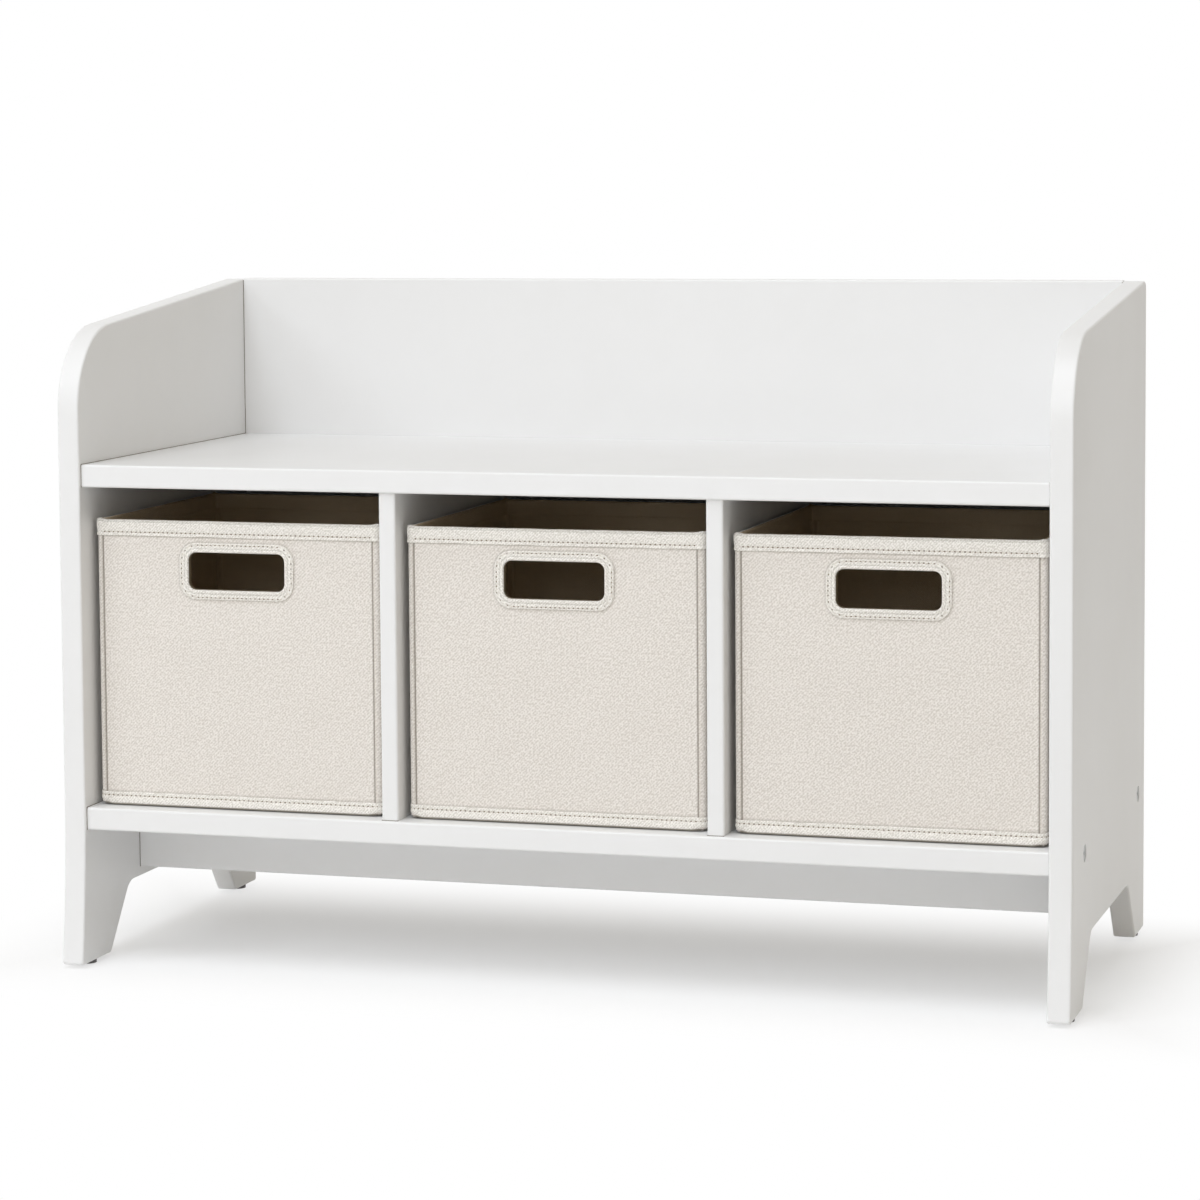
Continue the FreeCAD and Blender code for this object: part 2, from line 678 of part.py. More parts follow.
apron_spots = [((x, "apron_middle_y", "lower_under"), "-Z", 0) for x in ("-bay_pitch", "0", "bay_pitch")]
sheet_spots = [((x, "boards_back_y", "lower_middle"), "-Y", 0) for x in rear_columns]
for x in divider_columns:
    for share in SHEET_SCREW_SHARES:
        z = share_of("lower_shelf_height", "bench_under", share)
        sheet_spots.append(((x, "boards_back_y", z), "-Y", 0))
glide_spots = [
    ((x, y, "glide_height"), "+Z", 0)
    for x in ("-half_width + side_board / 2", "half_width - side_board / 2")
    for y in ("( toe_y + front_foot_y ) / 2", "( back_foot_y + back_y ) / 2")
]


def build_cabinet():
    """The boards with their holes, and every group of fittings."""
    bolt_holes = group("BoltHoles", connector_hole(), bolt_spots)
    nut_hole = barrel_nut("NutHole", "nut_radius + fit_slack", "shelf_board / 2 + overrun")
    nut_holes = group("NutHoles", nut_hole, bolt_spots)
    cam_bolt_holes = group("CamBoltHoles", cam_bolt_hole(), cam_spots)
    cam_lock_holes = group("CamLockHoles", cam_lock_hole(), cam_spots)
    dowel_holes = group("DowelHoles", dowel_hole("DowelHole", *DOWEL_SIZES), dowel_spots)
    pin_holes = group("PinHoles", dowel_hole("PinHole", *PIN_SIZES), pin_spots)
    back_holes = group("BackScrewHoles", countersunk_hole("BackScrewHole", "back_board"), back_spots)
    shelf_screw_hole = countersunk_hole("ShelfScrewHole", "shelf_board")
    divider_holes = group("DividerScrewHoles", shelf_screw_hole, divider_spots)
    apron_holes = group("ApronScrewHoles", shelf_screw_hole, apron_spots)
    sheet_holes = group("SheetScrewHoles", sheet_screw_hole(), sheet_spots)
    glide_holes = group("GlideHoles", glide_hole(), glide_spots)
    doc.recompute()

    side_holes = [bolt_holes, cam_bolt_holes, dowel_holes, pin_holes, glide_holes]
    drilled(side_panel("LeftSide", "-half_width"), "left_side_panel", side_holes)
    drilled(side_panel("RightSide", "inner_half"), "right_side_panel", side_holes)
    bench = shelf("BenchTop", "bench_under", "bench_height")
    drilled(bench, "bench_top", [cam_bolt_holes, cam_lock_holes, dowel_holes, pin_holes, back_holes])
    bottom = shelf("BottomShelf", "lower_under", "lower_shelf_height")
    bottom_holes = [bolt_holes, nut_holes, dowel_holes, divider_holes, apron_holes, sheet_holes]
    drilled(bottom, "bottom_shelf", bottom_holes)
    divider_tools = [pin_holes, divider_holes, sheet_holes]
    drilled(divider("LeftDivider", "-1"), "left_divider", divider_tools)
    drilled(divider("RightDivider", "1"), "right_divider", divider_tools)
    drilled(upper_back(), "upper_back_panel", [pin_holes, back_holes])
    drilled(rear_sheet(), "rear_sheet", [sheet_holes])
    drilled(apron(), "apron_rail", [dowel_holes, apron_holes])

    keep(group("ConnectorBolts", connector_bolt(), bolt_spots), "connector_bolts")
    nut_bore = rod("NutBore", "bolt_radius + fit_slack", "0", "bolt_reach + nut_radius + overrun")
    nut = master("BarrelNut", [barrel_nut("NutBody", "nut_radius", "nut_length / 2")], [nut_bore])
    keep(group("BarrelNuts", nut, bolt_spots), "barrel_nuts")
    keep(group("CamBolts", cam_bolt(), cam_spots), "cam_bolts")
    keep(group("CamLocks", cam_lock(), cam_spots), "cam_locks")
    keep(group("Dowels", dowel("Dowel", *DOWEL_SIZES), dowel_spots), "large_dowels")
    keep(group("Pins", dowel("Pin", *PIN_SIZES), pin_spots), "small_dowels")
    keep(group("BackScrews", countersunk_screw("BackScrew", "back_board"), back_spots), "back_panel_screws")
    shelf_screw = countersunk_screw("ShelfScrew", "shelf_board")
    keep(group("DividerScrews", shelf_screw, divider_spots), "divider_screws")
    keep(group("ApronScrews", shelf_screw, apron_spots), "apron_screws")
    keep(group("SheetScrews", sheet_screw(), sheet_spots), "rear_sheet_screws")
    keep(group("Glides", glide(), glide_spots), "leg_glides")


# Bins. Each piece is a body that stands in the middle bay and is moved to its own bay.


def cut_slot(body, name):
    """The hand slot through the front wall, with rounded corners."""
    low = ("-handle_width / 2", "bin_front_y - overrun", "handle_bottom")
    high = ("handle_width / 2", "mouth_front_y + overrun", "handle_top")
    slot = block(body, name + "Slot", "Subtractive", low, high)
    fillet(body, name + "SlotCorners", "handle_radius", corner_edges(slot, Y_AXIS))


def upright(body, name, kind, plan, heights):
    """A box added or taken away. A plan names a half width, a front and a depth."""
    half, front, depth = plan
    return block(body, name, kind, (f"-{half}", front, heights[0]), (half, f"{front} + {depth}", heights[1]))


def turn_corners(body, name, turns):
    """Rounds the upright corners of each box in the list, by its own radius."""
    for i, (box, radius) in enumerate(turns):
        fillet(body, f"{name}Corners{i}", radius, corner_edges(box, Z_AXIS))


BIN_PLAN = ("bin_half", "bin_front_y", "bin_depth")
CANVAS_PLAN = ("canvas_half", "canvas_front_y", "canvas_depth")
STIFF_PLAN = ("stiff_half", "stiff_front_y", "stiff_depth")
LINING_PLAN = ("lining_half", "lining_front_y", "lining_depth")
CAVITY_PLAN = ("cavity_half", "cavity_front_y", "cavity_depth")
MOUTH_PLAN = ("mouth_half", "mouth_front_y", "mouth_depth")


def canvas_piece(body, name):
    outside = upright(body, name + "Outside", "Additive", CANVAS_PLAN, ("canvas_floor", "canvas_rim"))
    heights = ("stiff_floor", "canvas_rim + overrun")
    inside = upright(body, name + "Inside", "Subtractive", STIFF_PLAN, heights)
    turn_corners(body, name, ((inside, "bin_corner - canvas"), (outside, "bin_corner")))
    cut_slot(body, name)


def lining_piece(body, name):
    outside = upright(body, name + "Outside", "Additive", LINING_PLAN, ("lining_floor", "canvas_rim"))
    heights = ("lining_floor + lining", "canvas_rim + overrun")
    inside = upright(body, name + "Inside", "Subtractive", CAVITY_PLAN, heights)
    turn_corners(body, name, ((inside, "bin_corner - binding - lining"), (outside, "bin_corner - binding")))
    cut_slot(body, name)


def rim_piece(body, name):
    """The rim binding: a channel that hangs over the wall's upper edge, inside and outside."""
    hem = "bin_rim - rim_band"
    outside = upright(body, name + "Outside", "Additive", BIN_PLAN, (hem, "bin_rim"))
    channel = upright(body, name + "Channel", "Subtractive", CANVAS_PLAN, (f"{hem} - overrun", "canvas_rim"))
    tongue = upright(body, name + "Tongue", "Additive", CAVITY_PLAN, (hem, "canvas_rim + binding / 2"))
    heights = (f"{hem} - overrun", "bin_rim + overrun")
    mouth = upright(body, name + "Mouth", "Subtractive", MOUTH_PLAN, heights)
    inner = "bin_corner - binding"
    turns = ((channel, inner), (outside, "bin_corner"), (mouth, "bin_corner - 2 * binding"), (tongue, inner))
    turn_corners(body, name, turns)


def foot_piece(body, name):
    """The foot binding: a band round the foot, turned in under the base."""
    top = "bin_floor + foot_band"
    outside = upright(body, name + "Outside", "Additive", BIN_PLAN, ("bin_floor", top))
    inside = upright(body, name + "Inside", "Subtractive", CANVAS_PLAN, ("canvas_floor", f"{top} + overrun"))
    turn_corners(body, name, ((inside, "bin_corner - binding"), (outside, "bin_corner")))
    low = ("-bin_half + foot_turn", "bin_front_y + foot_turn", "bin_floor - overrun")
    high = ("bin_half - foot_turn", "bin_front_y + bin_depth - foot_turn", "canvas_floor + overrun")
    block(body, name + "Opening", "Subtractive", low, high)


def patch_piece(body, name):
    """The handle patch: a flat ring sewn round the hand slot."""
    low = ("-handle_width / 2 - patch_border", "bin_front_y", "handle_bottom - patch_border")
    high = ("handle_width / 2 + patch_border", "canvas_front_y", "handle_top + patch_border")
    plate = block(body, name + "Plate", "Additive", low, high)
    fillet(body, name + "PlateCorners", "handle_radius + patch_border", corner_edges(plate, Y_AXIS))
    cut_slot(body, name)


def front_stiffener(body, name):
    low = ("-stiff_half + fold_room", "stiff_front_y", "stiff_floor")
    block(body, name + "Plate", "Additive", low, ("stiff_half - fold_room", "lining_front_y", "canvas_rim"))
    cut_slot(body, name)


def back_stiffener(body, name):
    low = ("-stiff_half + fold_room", "lining_front_y + lining_depth", "stiff_floor")
    high = ("stiff_half - fold_room", "stiff_front_y + stiff_depth", "canvas_rim")
    block(body, name + "Plate", "Additive", low, high)


def side_stiffener(side):
    """The board in a bin's left or right wall."""

    def make(body, name):
        near_x, far_x = ("-stiff_half", "-lining_half") if side == "left" else ("lining_half", "stiff_half")
        low = (near_x, "stiff_front_y + fold_room", "stiff_floor")
        high = (far_x, "stiff_front_y + stiff_depth - fold_room", "canvas_rim")
        block(body, name + "Plate", "Additive", low, high)

    return make


def base_stiffener(body, name):
    low = ("-lining_half", "lining_front_y", "stiff_floor")
    high = ("lining_half", "lining_front_y + lining_depth", "lining_floor")
    block(body, name + "Plate", "Additive", low, high)


BIN_PIECES = (
    ("canvas", canvas_piece),
    ("lining", lining_piece),
    ("front_board", front_stiffener),
    ("back_board", back_stiffener),
    ("left_board", side_stiffener("left")),
    ("right_board", side_stiffener("right")),
    ("base_board", base_stiffener),
    ("rim_binding", rim_piece),
    ("foot_binding", foot_piece),
    ("handle_patch", patch_piece),
)
BINS = (("left", "-bay_pitch"), ("middle", "0"), ("right", "bay_pitch"))


def build_bins():
    for side, middle in BINS:
        for piece, make in BIN_PIECES:
            name = f"{side}_bin_{piece}"
            body = new_body(name, name)
            make(body, name)
            place(body, middle)
            keep(body, name)


def check_and_write():
    """Stops on a failed object and on a piece with a wrong shape, then writes a file for each piece."""
    doc.recompute()
    failed = [item.Label for item in doc.Objects if {"Invalid", "Error"} & set(item.State)]
    for item in nodes:
        if item.Shape.isNull() or not item.Shape.isValid() or not item.Shape.Solids:
            failed.append(item.Label)
    if failed:
        raise RuntimeError("failed: " + ", ".join(failed))
    os.makedirs("parts", exist_ok=True)
    for item in nodes:
        item.Shape.exportStep(f"parts/{item.Label}.step")
        box = item.Shape.BoundBox
        spans = f"{box.XLength:.1f} x {box.YLength:.1f} x {box.ZLength:.1f}"
        print(f"{item.Label}: {len(item.Shape.Solids)} solids, {spans}, volume {item.Shape.Volume:.0f}")


build_cabinet()
build_bins()
check_and_write()
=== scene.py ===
"""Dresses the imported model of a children's storage bench: painted boards, metal fittings and three sewn
fabric bins, on a pale floor. It is laid out as an add-on and is run as a script. Lengths are in metres."""

import math

import bpy
import numpy as np
from bpy.props import FloatProperty, FloatVectorProperty, PointerProperty
from mathutils import Matrix, Vector


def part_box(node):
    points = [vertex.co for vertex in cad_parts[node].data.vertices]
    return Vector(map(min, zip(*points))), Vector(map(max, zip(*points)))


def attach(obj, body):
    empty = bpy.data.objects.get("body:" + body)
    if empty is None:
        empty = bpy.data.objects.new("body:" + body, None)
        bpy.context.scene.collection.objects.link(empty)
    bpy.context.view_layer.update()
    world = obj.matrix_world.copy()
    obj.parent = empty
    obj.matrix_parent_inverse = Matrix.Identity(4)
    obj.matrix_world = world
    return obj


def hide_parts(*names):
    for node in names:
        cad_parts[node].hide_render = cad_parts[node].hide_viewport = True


bl_info = {
    "name": "Storage bench",
    "version": (1, 0, 0),
    "blender": (4, 5, 0),
    "location": "3D View > Sidebar > Storage bench",
    "description": "Builds the painted bench, its fittings and its sewn fabric bins on the packed model",
    "category": "Object",
}

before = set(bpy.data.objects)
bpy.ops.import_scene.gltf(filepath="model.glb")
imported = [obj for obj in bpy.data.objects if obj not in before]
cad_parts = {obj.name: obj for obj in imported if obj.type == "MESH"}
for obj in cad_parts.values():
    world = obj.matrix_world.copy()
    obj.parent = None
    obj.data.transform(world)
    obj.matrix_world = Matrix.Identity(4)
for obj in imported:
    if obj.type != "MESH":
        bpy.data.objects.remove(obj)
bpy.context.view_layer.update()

TURN = 2 * math.pi
QUARTER = math.pi / 2
WHITE = (1.0, 1.0, 1.0, 1.0)
BINS = ("left", "middle", "right")
WALLS = ("front", "back", "left", "right")
FINISHES = {
    "White satin paint": (
        "left_side_panel", "right_side_panel", "bench_top", "bottom_shelf", "left_divider", "right_divider",
        "upper_back_panel", "rear_sheet", "apron_rail",
    ),
    "Plated steel": (
        "connector_bolts", "cam_bolts", "back_panel_screws", "divider_screws", "apron_screws",
        "rear_sheet_screws",
    ),
    "Cast zinc": ("barrel_nuts", "cam_locks"),
    "Beech dowel": ("large_dowels", "small_dowels"),
    "Glide": ("leg_glides",),
    "Fibreboard": tuple(f"{side}_bin_{wall}_board" for side in BINS for wall in (*WALLS, "base")),
}
# The boards with eased edges, and how many times the eased width each one has.
EASED = {
    "bench_top": 2, "bottom_shelf": 2, "upper_back_panel": 1, "left_divider": 1, "right_divider": 1,
    "apron_rail": 1,
}

# Distances between mesh points: near a bin's corners, along its walls, along its front and round a tape.
CORNER_STEP, WALL_STEP, FRONT_STEP, TAPE_STEP = 0.0006, 0.006, 0.0022, 0.00066
# Radii of a bin's corners, in plan.
CANVAS_CORNER, LINING_CORNER, TAPE_CORNER = 0.005, 0.003, 0.006
# From the round of a bin's corner to its seam line.
SEAM = 0.0008
# From the outer edge of the patch round the hand slot to its row of stitches.
PATCH_ROW = 0.0019
# Stitches: their share of the distance from one to the next, and their radius.
STITCH_SHARE, STITCH_RADIUS = 0.55, 0.00042
SEAM_STITCH_SHARE, SEAM_STITCH_RADIUS = 0.66, 0.0003
# Needle holes, drawn as dark blobs of painted shade: their length and their radius.
HOLE, HOLE_RADIUS = 0.0017, 0.0006
# A row of stitches draws its tape in by this much, over this width, and the tape swells beside it.
DRAWN, DRAWN_WIDTH, SWELL = 0.00042, 0.0019, 0.0003
# The stitches' middles: under the face of a tape, and above the faces of the slot's patch and of a seam.
IN_TAPE, ON_PATCH, ON_SEAM = 0.0003, 0.00095, 0.00036

LAMP_TINT = (0.88, 0.925, 1.0)
LAMP_AIM = Vector((0, 0, 0.3))
# The lamps, named after their powers: place and width.
LAMPS = {
    "key": ((-0.7, -3.1, 6.8), 4.2),
    "front": ((-1.0, -6.5, 4.0), 3.0),
    "side": ((-3.8, -3.6, 3.6), 2.2),
    "fill": ((-0.3, -3.0, 0.15), 0.8),
}
# The camera's place, and its turns to the left, down and clockwise.
CAMERA_PLACE = (0.94098, -3.1731, 0.71121)
YAW, PITCH, ROLL = 0.2911, 0.0778, -0.0069


# Settings


def kind_of_setting(make, **limits):
    """A function that makes settings of one kind from a name, a description and a default."""
    return lambda name, description, default: make(
        name=name, description=description, default=default, min=0.0, **limits
    )


length = kind_of_setting(FloatProperty, max=1.0, unit="LENGTH")
share = kind_of_setting(FloatProperty, max=1.0, subtype="FACTOR")
power = kind_of_setting(FloatProperty, max=2000.0, unit="POWER")
focal_length = kind_of_setting(FloatProperty, max=300.0, unit="CAMERA")
colour = kind_of_setting(FloatVectorProperty, max=1.0, size=3, subtype="COLOR")


class BenchPaint(bpy.types.PropertyGroup):
    """The painted boards and the metal in them."""

    paint: colour("Paint", "Colour of the satin paint", (0.86, 0.858, 0.854))
    paint_roughness: share("Paint roughness", "Roughness of the satin paint", 0.36)
    peel: length("Orange peel", "Width of the fine unevenness in the sprayed paint", 0.0012)
    eased: length("Eased edge", "Rounding of the board ends at the joints", 0.0006)
    # The joints are drawn as dark threads: painted shade standing in for the shadow in the gaps between the
    # boards.
    joint: length("Joint", "Width of the open joints between the boards", 0.0008)
    joint_tone: colour("Joint tone", "Colour in the open joints", (0.2, 0.17, 0.135))
    steel: colour("Steel", "Colour of the plated steel fittings", (0.52, 0.52, 0.52))
    zinc: colour("Zinc", "Colour of the cast fittings", (0.46, 0.47, 0.48))
    dowel: colour("Dowel", "Colour of the wooden dowels", (0.62, 0.45, 0.27))
    glide: colour("Glide", "Colour of the glides under the legs", (0.12, 0.115, 0.11))
    fibreboard: colour("Fibreboard", "Colour of the boards inside the bins' walls", (0.36, 0.27, 0.18))


class BinCloth(bpy.types.PropertyGroup):
    """The sewn cloth of the bins."""

    canvas: colour("Canvas", "Colour of the outer cloth", (0.818, 0.771, 0.715))
    tape: colour("Tape", "Colour of the bindings and the handle patch", (0.89, 0.857, 0.8))
    thread: colour("Thread", "Colour of the sewing thread", (0.74, 0.69, 0.61))
    lining: colour("Lining", "Colour of the lining", (0.66, 0.53, 0.37))
    # The needle holes are drawn as dark blobs: their colour is painted shade in the holes.
    hole: colour("Needle hole", "Colour in the needle holes", (0.24, 0.19, 0.14))
    # The faces through the wall round the hand slot get this dark colour as painted shade.
    slot_edge: colour("Slot edge", "Colour of the cut edge through the wall", (0.2, 0.155, 0.1))
    yarn: length("Yarn", "Distance between neighbouring yarns", 0.0009)
    stitch: length("Stitch", "Distance from one stitch to the next", 0.0043)
    seam_stitch: length("Seam stitch", "Distance between stitches in the corner seams", 0.0028)
    cloth: length("Cloth", "Thickness of the outer cloth and the tapes", 0.001)
    lining_cloth: length("Lining cloth", "Thickness of the lining", 0.0008)
    row: length("Row", "Distance from a tape's hem to its row of stitches", 0.0032)
    slot_border: length("Slot border", "Width of the patch round the hand slot", 0.0085)
    slot_corner: length("Slot corner", "Radius of the hand slot's corners", 0.007)
    ripple: length("Ripple", "Height of the soft waves in the walls", 0.0005)


class BenchStage(bpy.types.PropertyGroup):
    """The floor, the light and the camera."""

    floor: colour("Floor", "Colour of the floor", (0.9, 0.9, 0.9))
    daylight: share("Daylight", "Strength of the even light", 0.44)
    daylight_tint: colour("Daylight tint", "Tint of the even light", (1.0, 0.93, 0.8))
    key: power("Key", "Power of the lamp above the front", 180.0)
    front: power("Front", "Power of the high lamp in front", 96.0)
    side: power("Side", "Power of the lamp at the left", 49.5)
    fill: power("Fill", "Power of the low lamp in front", 5.5)
    lens: focal_length("Lens", "Focal length in millimetres", 111.08)


# Meshes from grids


def packed(values, kind=np.float32):
    """Values in the flat form that a mesh takes."""
    return np.ascontiguousarray(values, dtype=kind).ravel()


def make_mesh(name, points, faces, uv=None, tones=None, painted_shade_amount=None, smooth=True):
    """An object from an array of points and an array of quads, with a UV in metres for each face corner, a
    material number for each face, and how strongly painted shade darkens the folds, hems and seams at each
    point."""
    mesh = bpy.data.meshes.new(name)
    mesh.vertices.add(len(points))
    mesh.vertices.foreach_set("co", packed(points))
    mesh.loops.add(faces.size)
    mesh.loops.foreach_set("vertex_index", packed(faces, np.int32))
    mesh.polygons.add(len(faces))
    mesh.polygons.foreach_set("loop_start", np.arange(0, faces.size, 4, dtype=np.int32))
    mesh.polygons.foreach_set("use_smooth", np.full(len(faces), smooth))
    if uv is not None:
        mesh.uv_layers.new(name="Cloth").data.foreach_set("uv", packed(uv))
    if tones is not None:
        mesh.polygons.foreach_set("material_index", packed(tones, np.int32))
    if painted_shade_amount is not None:
        mesh.attributes.new("Crease", "FLOAT", "POINT").data.foreach_set("value", packed(painted_shade_amount))
    mesh.update(calc_edges=True)
    mesh.validate()
    item = bpy.data.objects.new(name, mesh)
    bpy.context.scene.collection.objects.link(item)
    return item


def grid_faces(shape, closed):
    """Quads of a grid, as vertex numbers, with the grid places of their corners: (i, j), (i+1, j), (i+1,
    j+1), (i, j+1). A grid that closes on itself uses its first row or column again after the last."""
    nu, nv = shape
    cells_u, cells_v = nu - ("u" not in closed), nv - ("v" not in closed)
    i, j = np.meshgrid(np.arange(cells_u), np.arange(cells_v), indexing="ij")
    corners = np.stack([np.stack([i + a, j + b], -1) for a, b in ((0, 0), (1, 0), (1, 1), (0, 1))], -2)
    number = (corners[..., 0] % nu) * nv + corners[..., 1] % nv
    return number.reshape(-1, 4), corners.reshape(-1, 4, 2)


def grid_object(name, points, u, v, closed="u", keep=None, tones=None, painted_shade_amount=None, flip=False):
    """An object from a grid of points. u and v are the arc lengths along both ways, each with one entry more
    than the grid where it closes on itself, which closed says. keep and tones are worked out for each cell
    and the amount of painted shade for each point. flip turns the faces over."""
    faces, corners = grid_faces(points.shape[:2], closed)
    if flip:
        faces, corners = faces[:, ::-1], corners[:, ::-1]
    uv = np.stack([u[corners[..., 0]], v[corners[..., 1]]], -1)
    chosen = np.ones(len(faces), bool) if keep is None else keep.reshape(-1)
    tones = None if tones is None else tones.reshape(-1)[chosen]
    used, faces = np.unique(faces[chosen], return_inverse=True)
    painted_shade_amount = None if painted_shade_amount is None else np.broadcast_to(painted_shade_amount, points.shape[:2]).reshape(-1)[used]
    return make_mesh(name, points.reshape(-1, 3)[used], faces.reshape(-1, 4), uv[chosen], tones, painted_shade_amount)


def ripple(u, v, size, seed):
    """A soft uneven surface, mostly between -1 and 1: a fifth of the sum of eight sine waves in drawn
    directions, each about one size long."""
    draw = np.random.default_rng(seed).uniform
    total = 0.0
    for _ in range(8):
        turn, phase, run = draw(0, TURN), draw(0, TURN), size * draw(0.6, 1.7)
        total = total + np.sin(TURN * (u * math.cos(turn) + v * math.sin(turn)) / run + phase)
    return total / 5


def hump(x, width):
    """A smooth bump of height 1 at 0 that is gone at the width."""
    t = np.clip(np.abs(x) / width, 0, 1)
    return (1 - t * t) ** 2


def ramp(x, width):
    """A rise from 0 at 0 to 1 at the width."""
    return np.clip(x / width, 0, 1)


def spread(total, coarse):
    """Distances along a straight: fine steps near both ends and coarse ones between."""
    margin = min(0.012, total / 3)
    ends = np.linspace(0, margin, max(2, round(margin / CORNER_STEP)) + 1)
    middle = np.linspace(margin, total - margin, max(2, round((total - 2 * margin) / coarse)) + 1)
    return np.concatenate([ends[:-1], middle, total - ends[-2::-1]])


def walk_round(low, high, corner, s):
    """The walk round a flat rectangle with round corners, counter-clockwise from the start of its low side.
    At each arc length s it gives the centre that the outline turns about and the outward direction: along a
    side only the centre moves, and round a corner only the direction turns."""
    width, height = high - low - 2 * corner
    runs, arc = np.array([width, height, width, height]), corner * QUARTER
    starts = np.cumsum(runs) - runs + arc * np.arange(4)
    ways = QUARTER * np.arange(4)
    moved = np.clip(s[:, None] - starts, 0, runs)
    turned = QUARTER * ramp(s[:, None] - starts - runs, arc).sum(1)
    centre = low + corner + moved @ np.stack([np.cos(ways), np.sin(ways)], -1)
    return centre, np.stack([np.sin(turned), -np.cos(turned)], -1)


class Loop:
    """The plan of a bin's wall: a rectangle with round corners, walked counter-clockwise from the middle of
    the back, so that the outward side is on the right. It keeps points, outward normals, arc lengths, which
    wall a point is on, the arc lengths of the corners' middles, and the distance to the nearest one."""

    def __init__(self, low, high, radius):
        width, depth = high - low - 2 * radius
        arc = radius * QUARTER
        half_back = ("back", width / 2, WALL_STEP)
        sides = (
            half_back, ("left", depth, WALL_STEP), ("front", width, FRONT_STEP), ("right", depth, WALL_STEP),
            half_back,
        )
        places, walls, walked = [], [], 0.0
        for wall, run, step in sides:
            for part, steps in ((wall, spread(run, step)), ("corner", run + np.linspace(0, arc, 11))):
                places.append(walked + steps[:-1])
                walls.append(np.full(len(steps) - 1, part))
            walked += run + arc
        self.s, self.wall = np.concatenate(places[:-1]), np.concatenate(walls[:-1])
        self.total, self.arc = walked - arc, arc
        self.corner_places = np.cumsum([width / 2, depth, width, depth]) + arc * (np.arange(4) + 0.5)
        self.corner = np.abs(self.s[:, None] - self.corner_places).min(1)
        start = 1.5 * width + depth + 2 * arc
        centre, self.normals = walk_round(low, high, radius, (self.s + start) % self.total)
        self.points = centre + radius * self.normals

    def lengths(self):
        """Arc lengths with the closing one at the end."""
        return np.append(self.s, self.total)

    def at(self, s):
        """Points and outward normals at any arc lengths, from the walked line."""
        plan, normal = (
            np.stack([np.interp(s, self.lengths(), np.append(column, column[0])) for column in values.T], -1)
            for values in (self.points, self.normals)
        )
        return plan, normal / np.linalg.norm(normal, axis=1, keepdims=True)

    def lift(self, offset, height):
        """Points in space: the plan moved outward by an offset, at a height. Both are grids with the loop's
        points along their first way."""
        flat = self.points[:, None] + self.normals[:, None] * offset[..., None]
        return np.concatenate([flat, height[..., None]], -1)


def slot_outline(low, high, corner, grow, count):
    """Points round the hand slot in the XZ plane, counter-clockwise as seen from the front, moved outward by
    an amount for each ring, with their outward normals and arc lengths."""
    low, high = low[[0, 2]], high[[0, 2]]
    total = 2 * (high - low - 2 * corner).sum() + TURN * corner
    s = np.arange(count + 1) * total / count
    centre, out = walk_round(low, high, corner, s[:-1])
    return centre[:, None] + out[:, None] * (corner + grow)[None, :, None], out, s


# Materials


def new_material(name):
    """A material with nodes, with its node tree and its Principled shader."""
    material = bpy.data.materials.new(name)
    material.use_nodes = True
    return material, material.node_tree, material.node_tree.nodes["Principled BSDF"]


def wire(tree, node, inputs):
    """Sets each input of a node, given by name or number, to a value, or links it to another node's
    output."""
    for name, value in inputs.items():
        if hasattr(value, "is_output"):
            tree.links.new(value, node.inputs[name])
        else:
            node.inputs[name].default_value = value


def add(tree, kind, inputs=None, **settings):
    """A new shader node with its settings and its inputs."""
    node = tree.nodes.new("ShaderNode" + kind)
    for name, value in settings.items():
        setattr(node, name, value)
    wire(tree, node, inputs or {})
    return node


def maths(tree, operation, *values):
    return add(tree, "Math", dict(enumerate(values)), operation=operation).outputs[0]


def wave(tree, distance, period):
    """A sine of a distance."""
    return maths(tree, "SINE", maths(tree, "MULTIPLY", distance, TURN / period))


def noise(tree, vector, scale, detail=2.0, rough=0.5):
    inputs = {"Vector": vector, "Scale": scale, "Detail": detail, "Roughness": rough}
    return add(tree, "TexNoise", inputs).outputs["Fac"]


def stretched(tree, vector, scale):
    return add(tree, "Mapping", {"Vector": vector, "Scale": scale}).outputs["Vector"]


def between(tree, factor, first, second):
    """A colour between two colours."""
    return add(tree, "Mix", {0: factor, 6: first, 7: second}, data_type="RGBA").outputs[2]


def retoned(tree, tint, value, saturation):
    """A colour with its brightness and its saturation multiplied."""
    inputs = {"Color": tint, "Value": value, "Saturation": saturation}
    return add(tree, "HueSaturation", inputs).outputs[0]


def bumped(tree, height, strength, distance):
    return add(tree, "Bump", {"Height": height, "Strength": strength, "Distance": distance}).outputs[0]


def object_place(tree):
    return add(tree, "TexCoord").outputs["Object"]


def tinted(tint, by=1.0):
    """A colour with its opacity, made lighter or darker."""
    return (*(min(1.0, part * by) for part in tint), 1.0)


def new_group(name, inputs, outputs):
    """An empty shader node group, with its node of given values and its node of results. An input is its
    name, kind and default, and an output is its name and kind."""
    tree = bpy.data.node_groups.new(name, "ShaderNodeTree")
    for title, kind, default in inputs:
        socket = tree.interface.new_socket(name=title, in_out="INPUT", socket_type="NodeSocket" + kind)
        if default is not None:
            socket.default_value = default
    for title, kind in outputs:
        tree.interface.new_socket(name=title, in_out="OUTPUT", socket_type="NodeSocket" + kind)
    return tree, tree.nodes.new("NodeGroupInput"), tree.nodes.new("NodeGroupOutput")


def use_group(tree, name, make, inputs):
    """The outputs of a named node group, which is made on first use."""
    group = bpy.data.node_groups.get(name) or make(name)
    return add(tree, "Group", inputs, node_tree=group).outputs


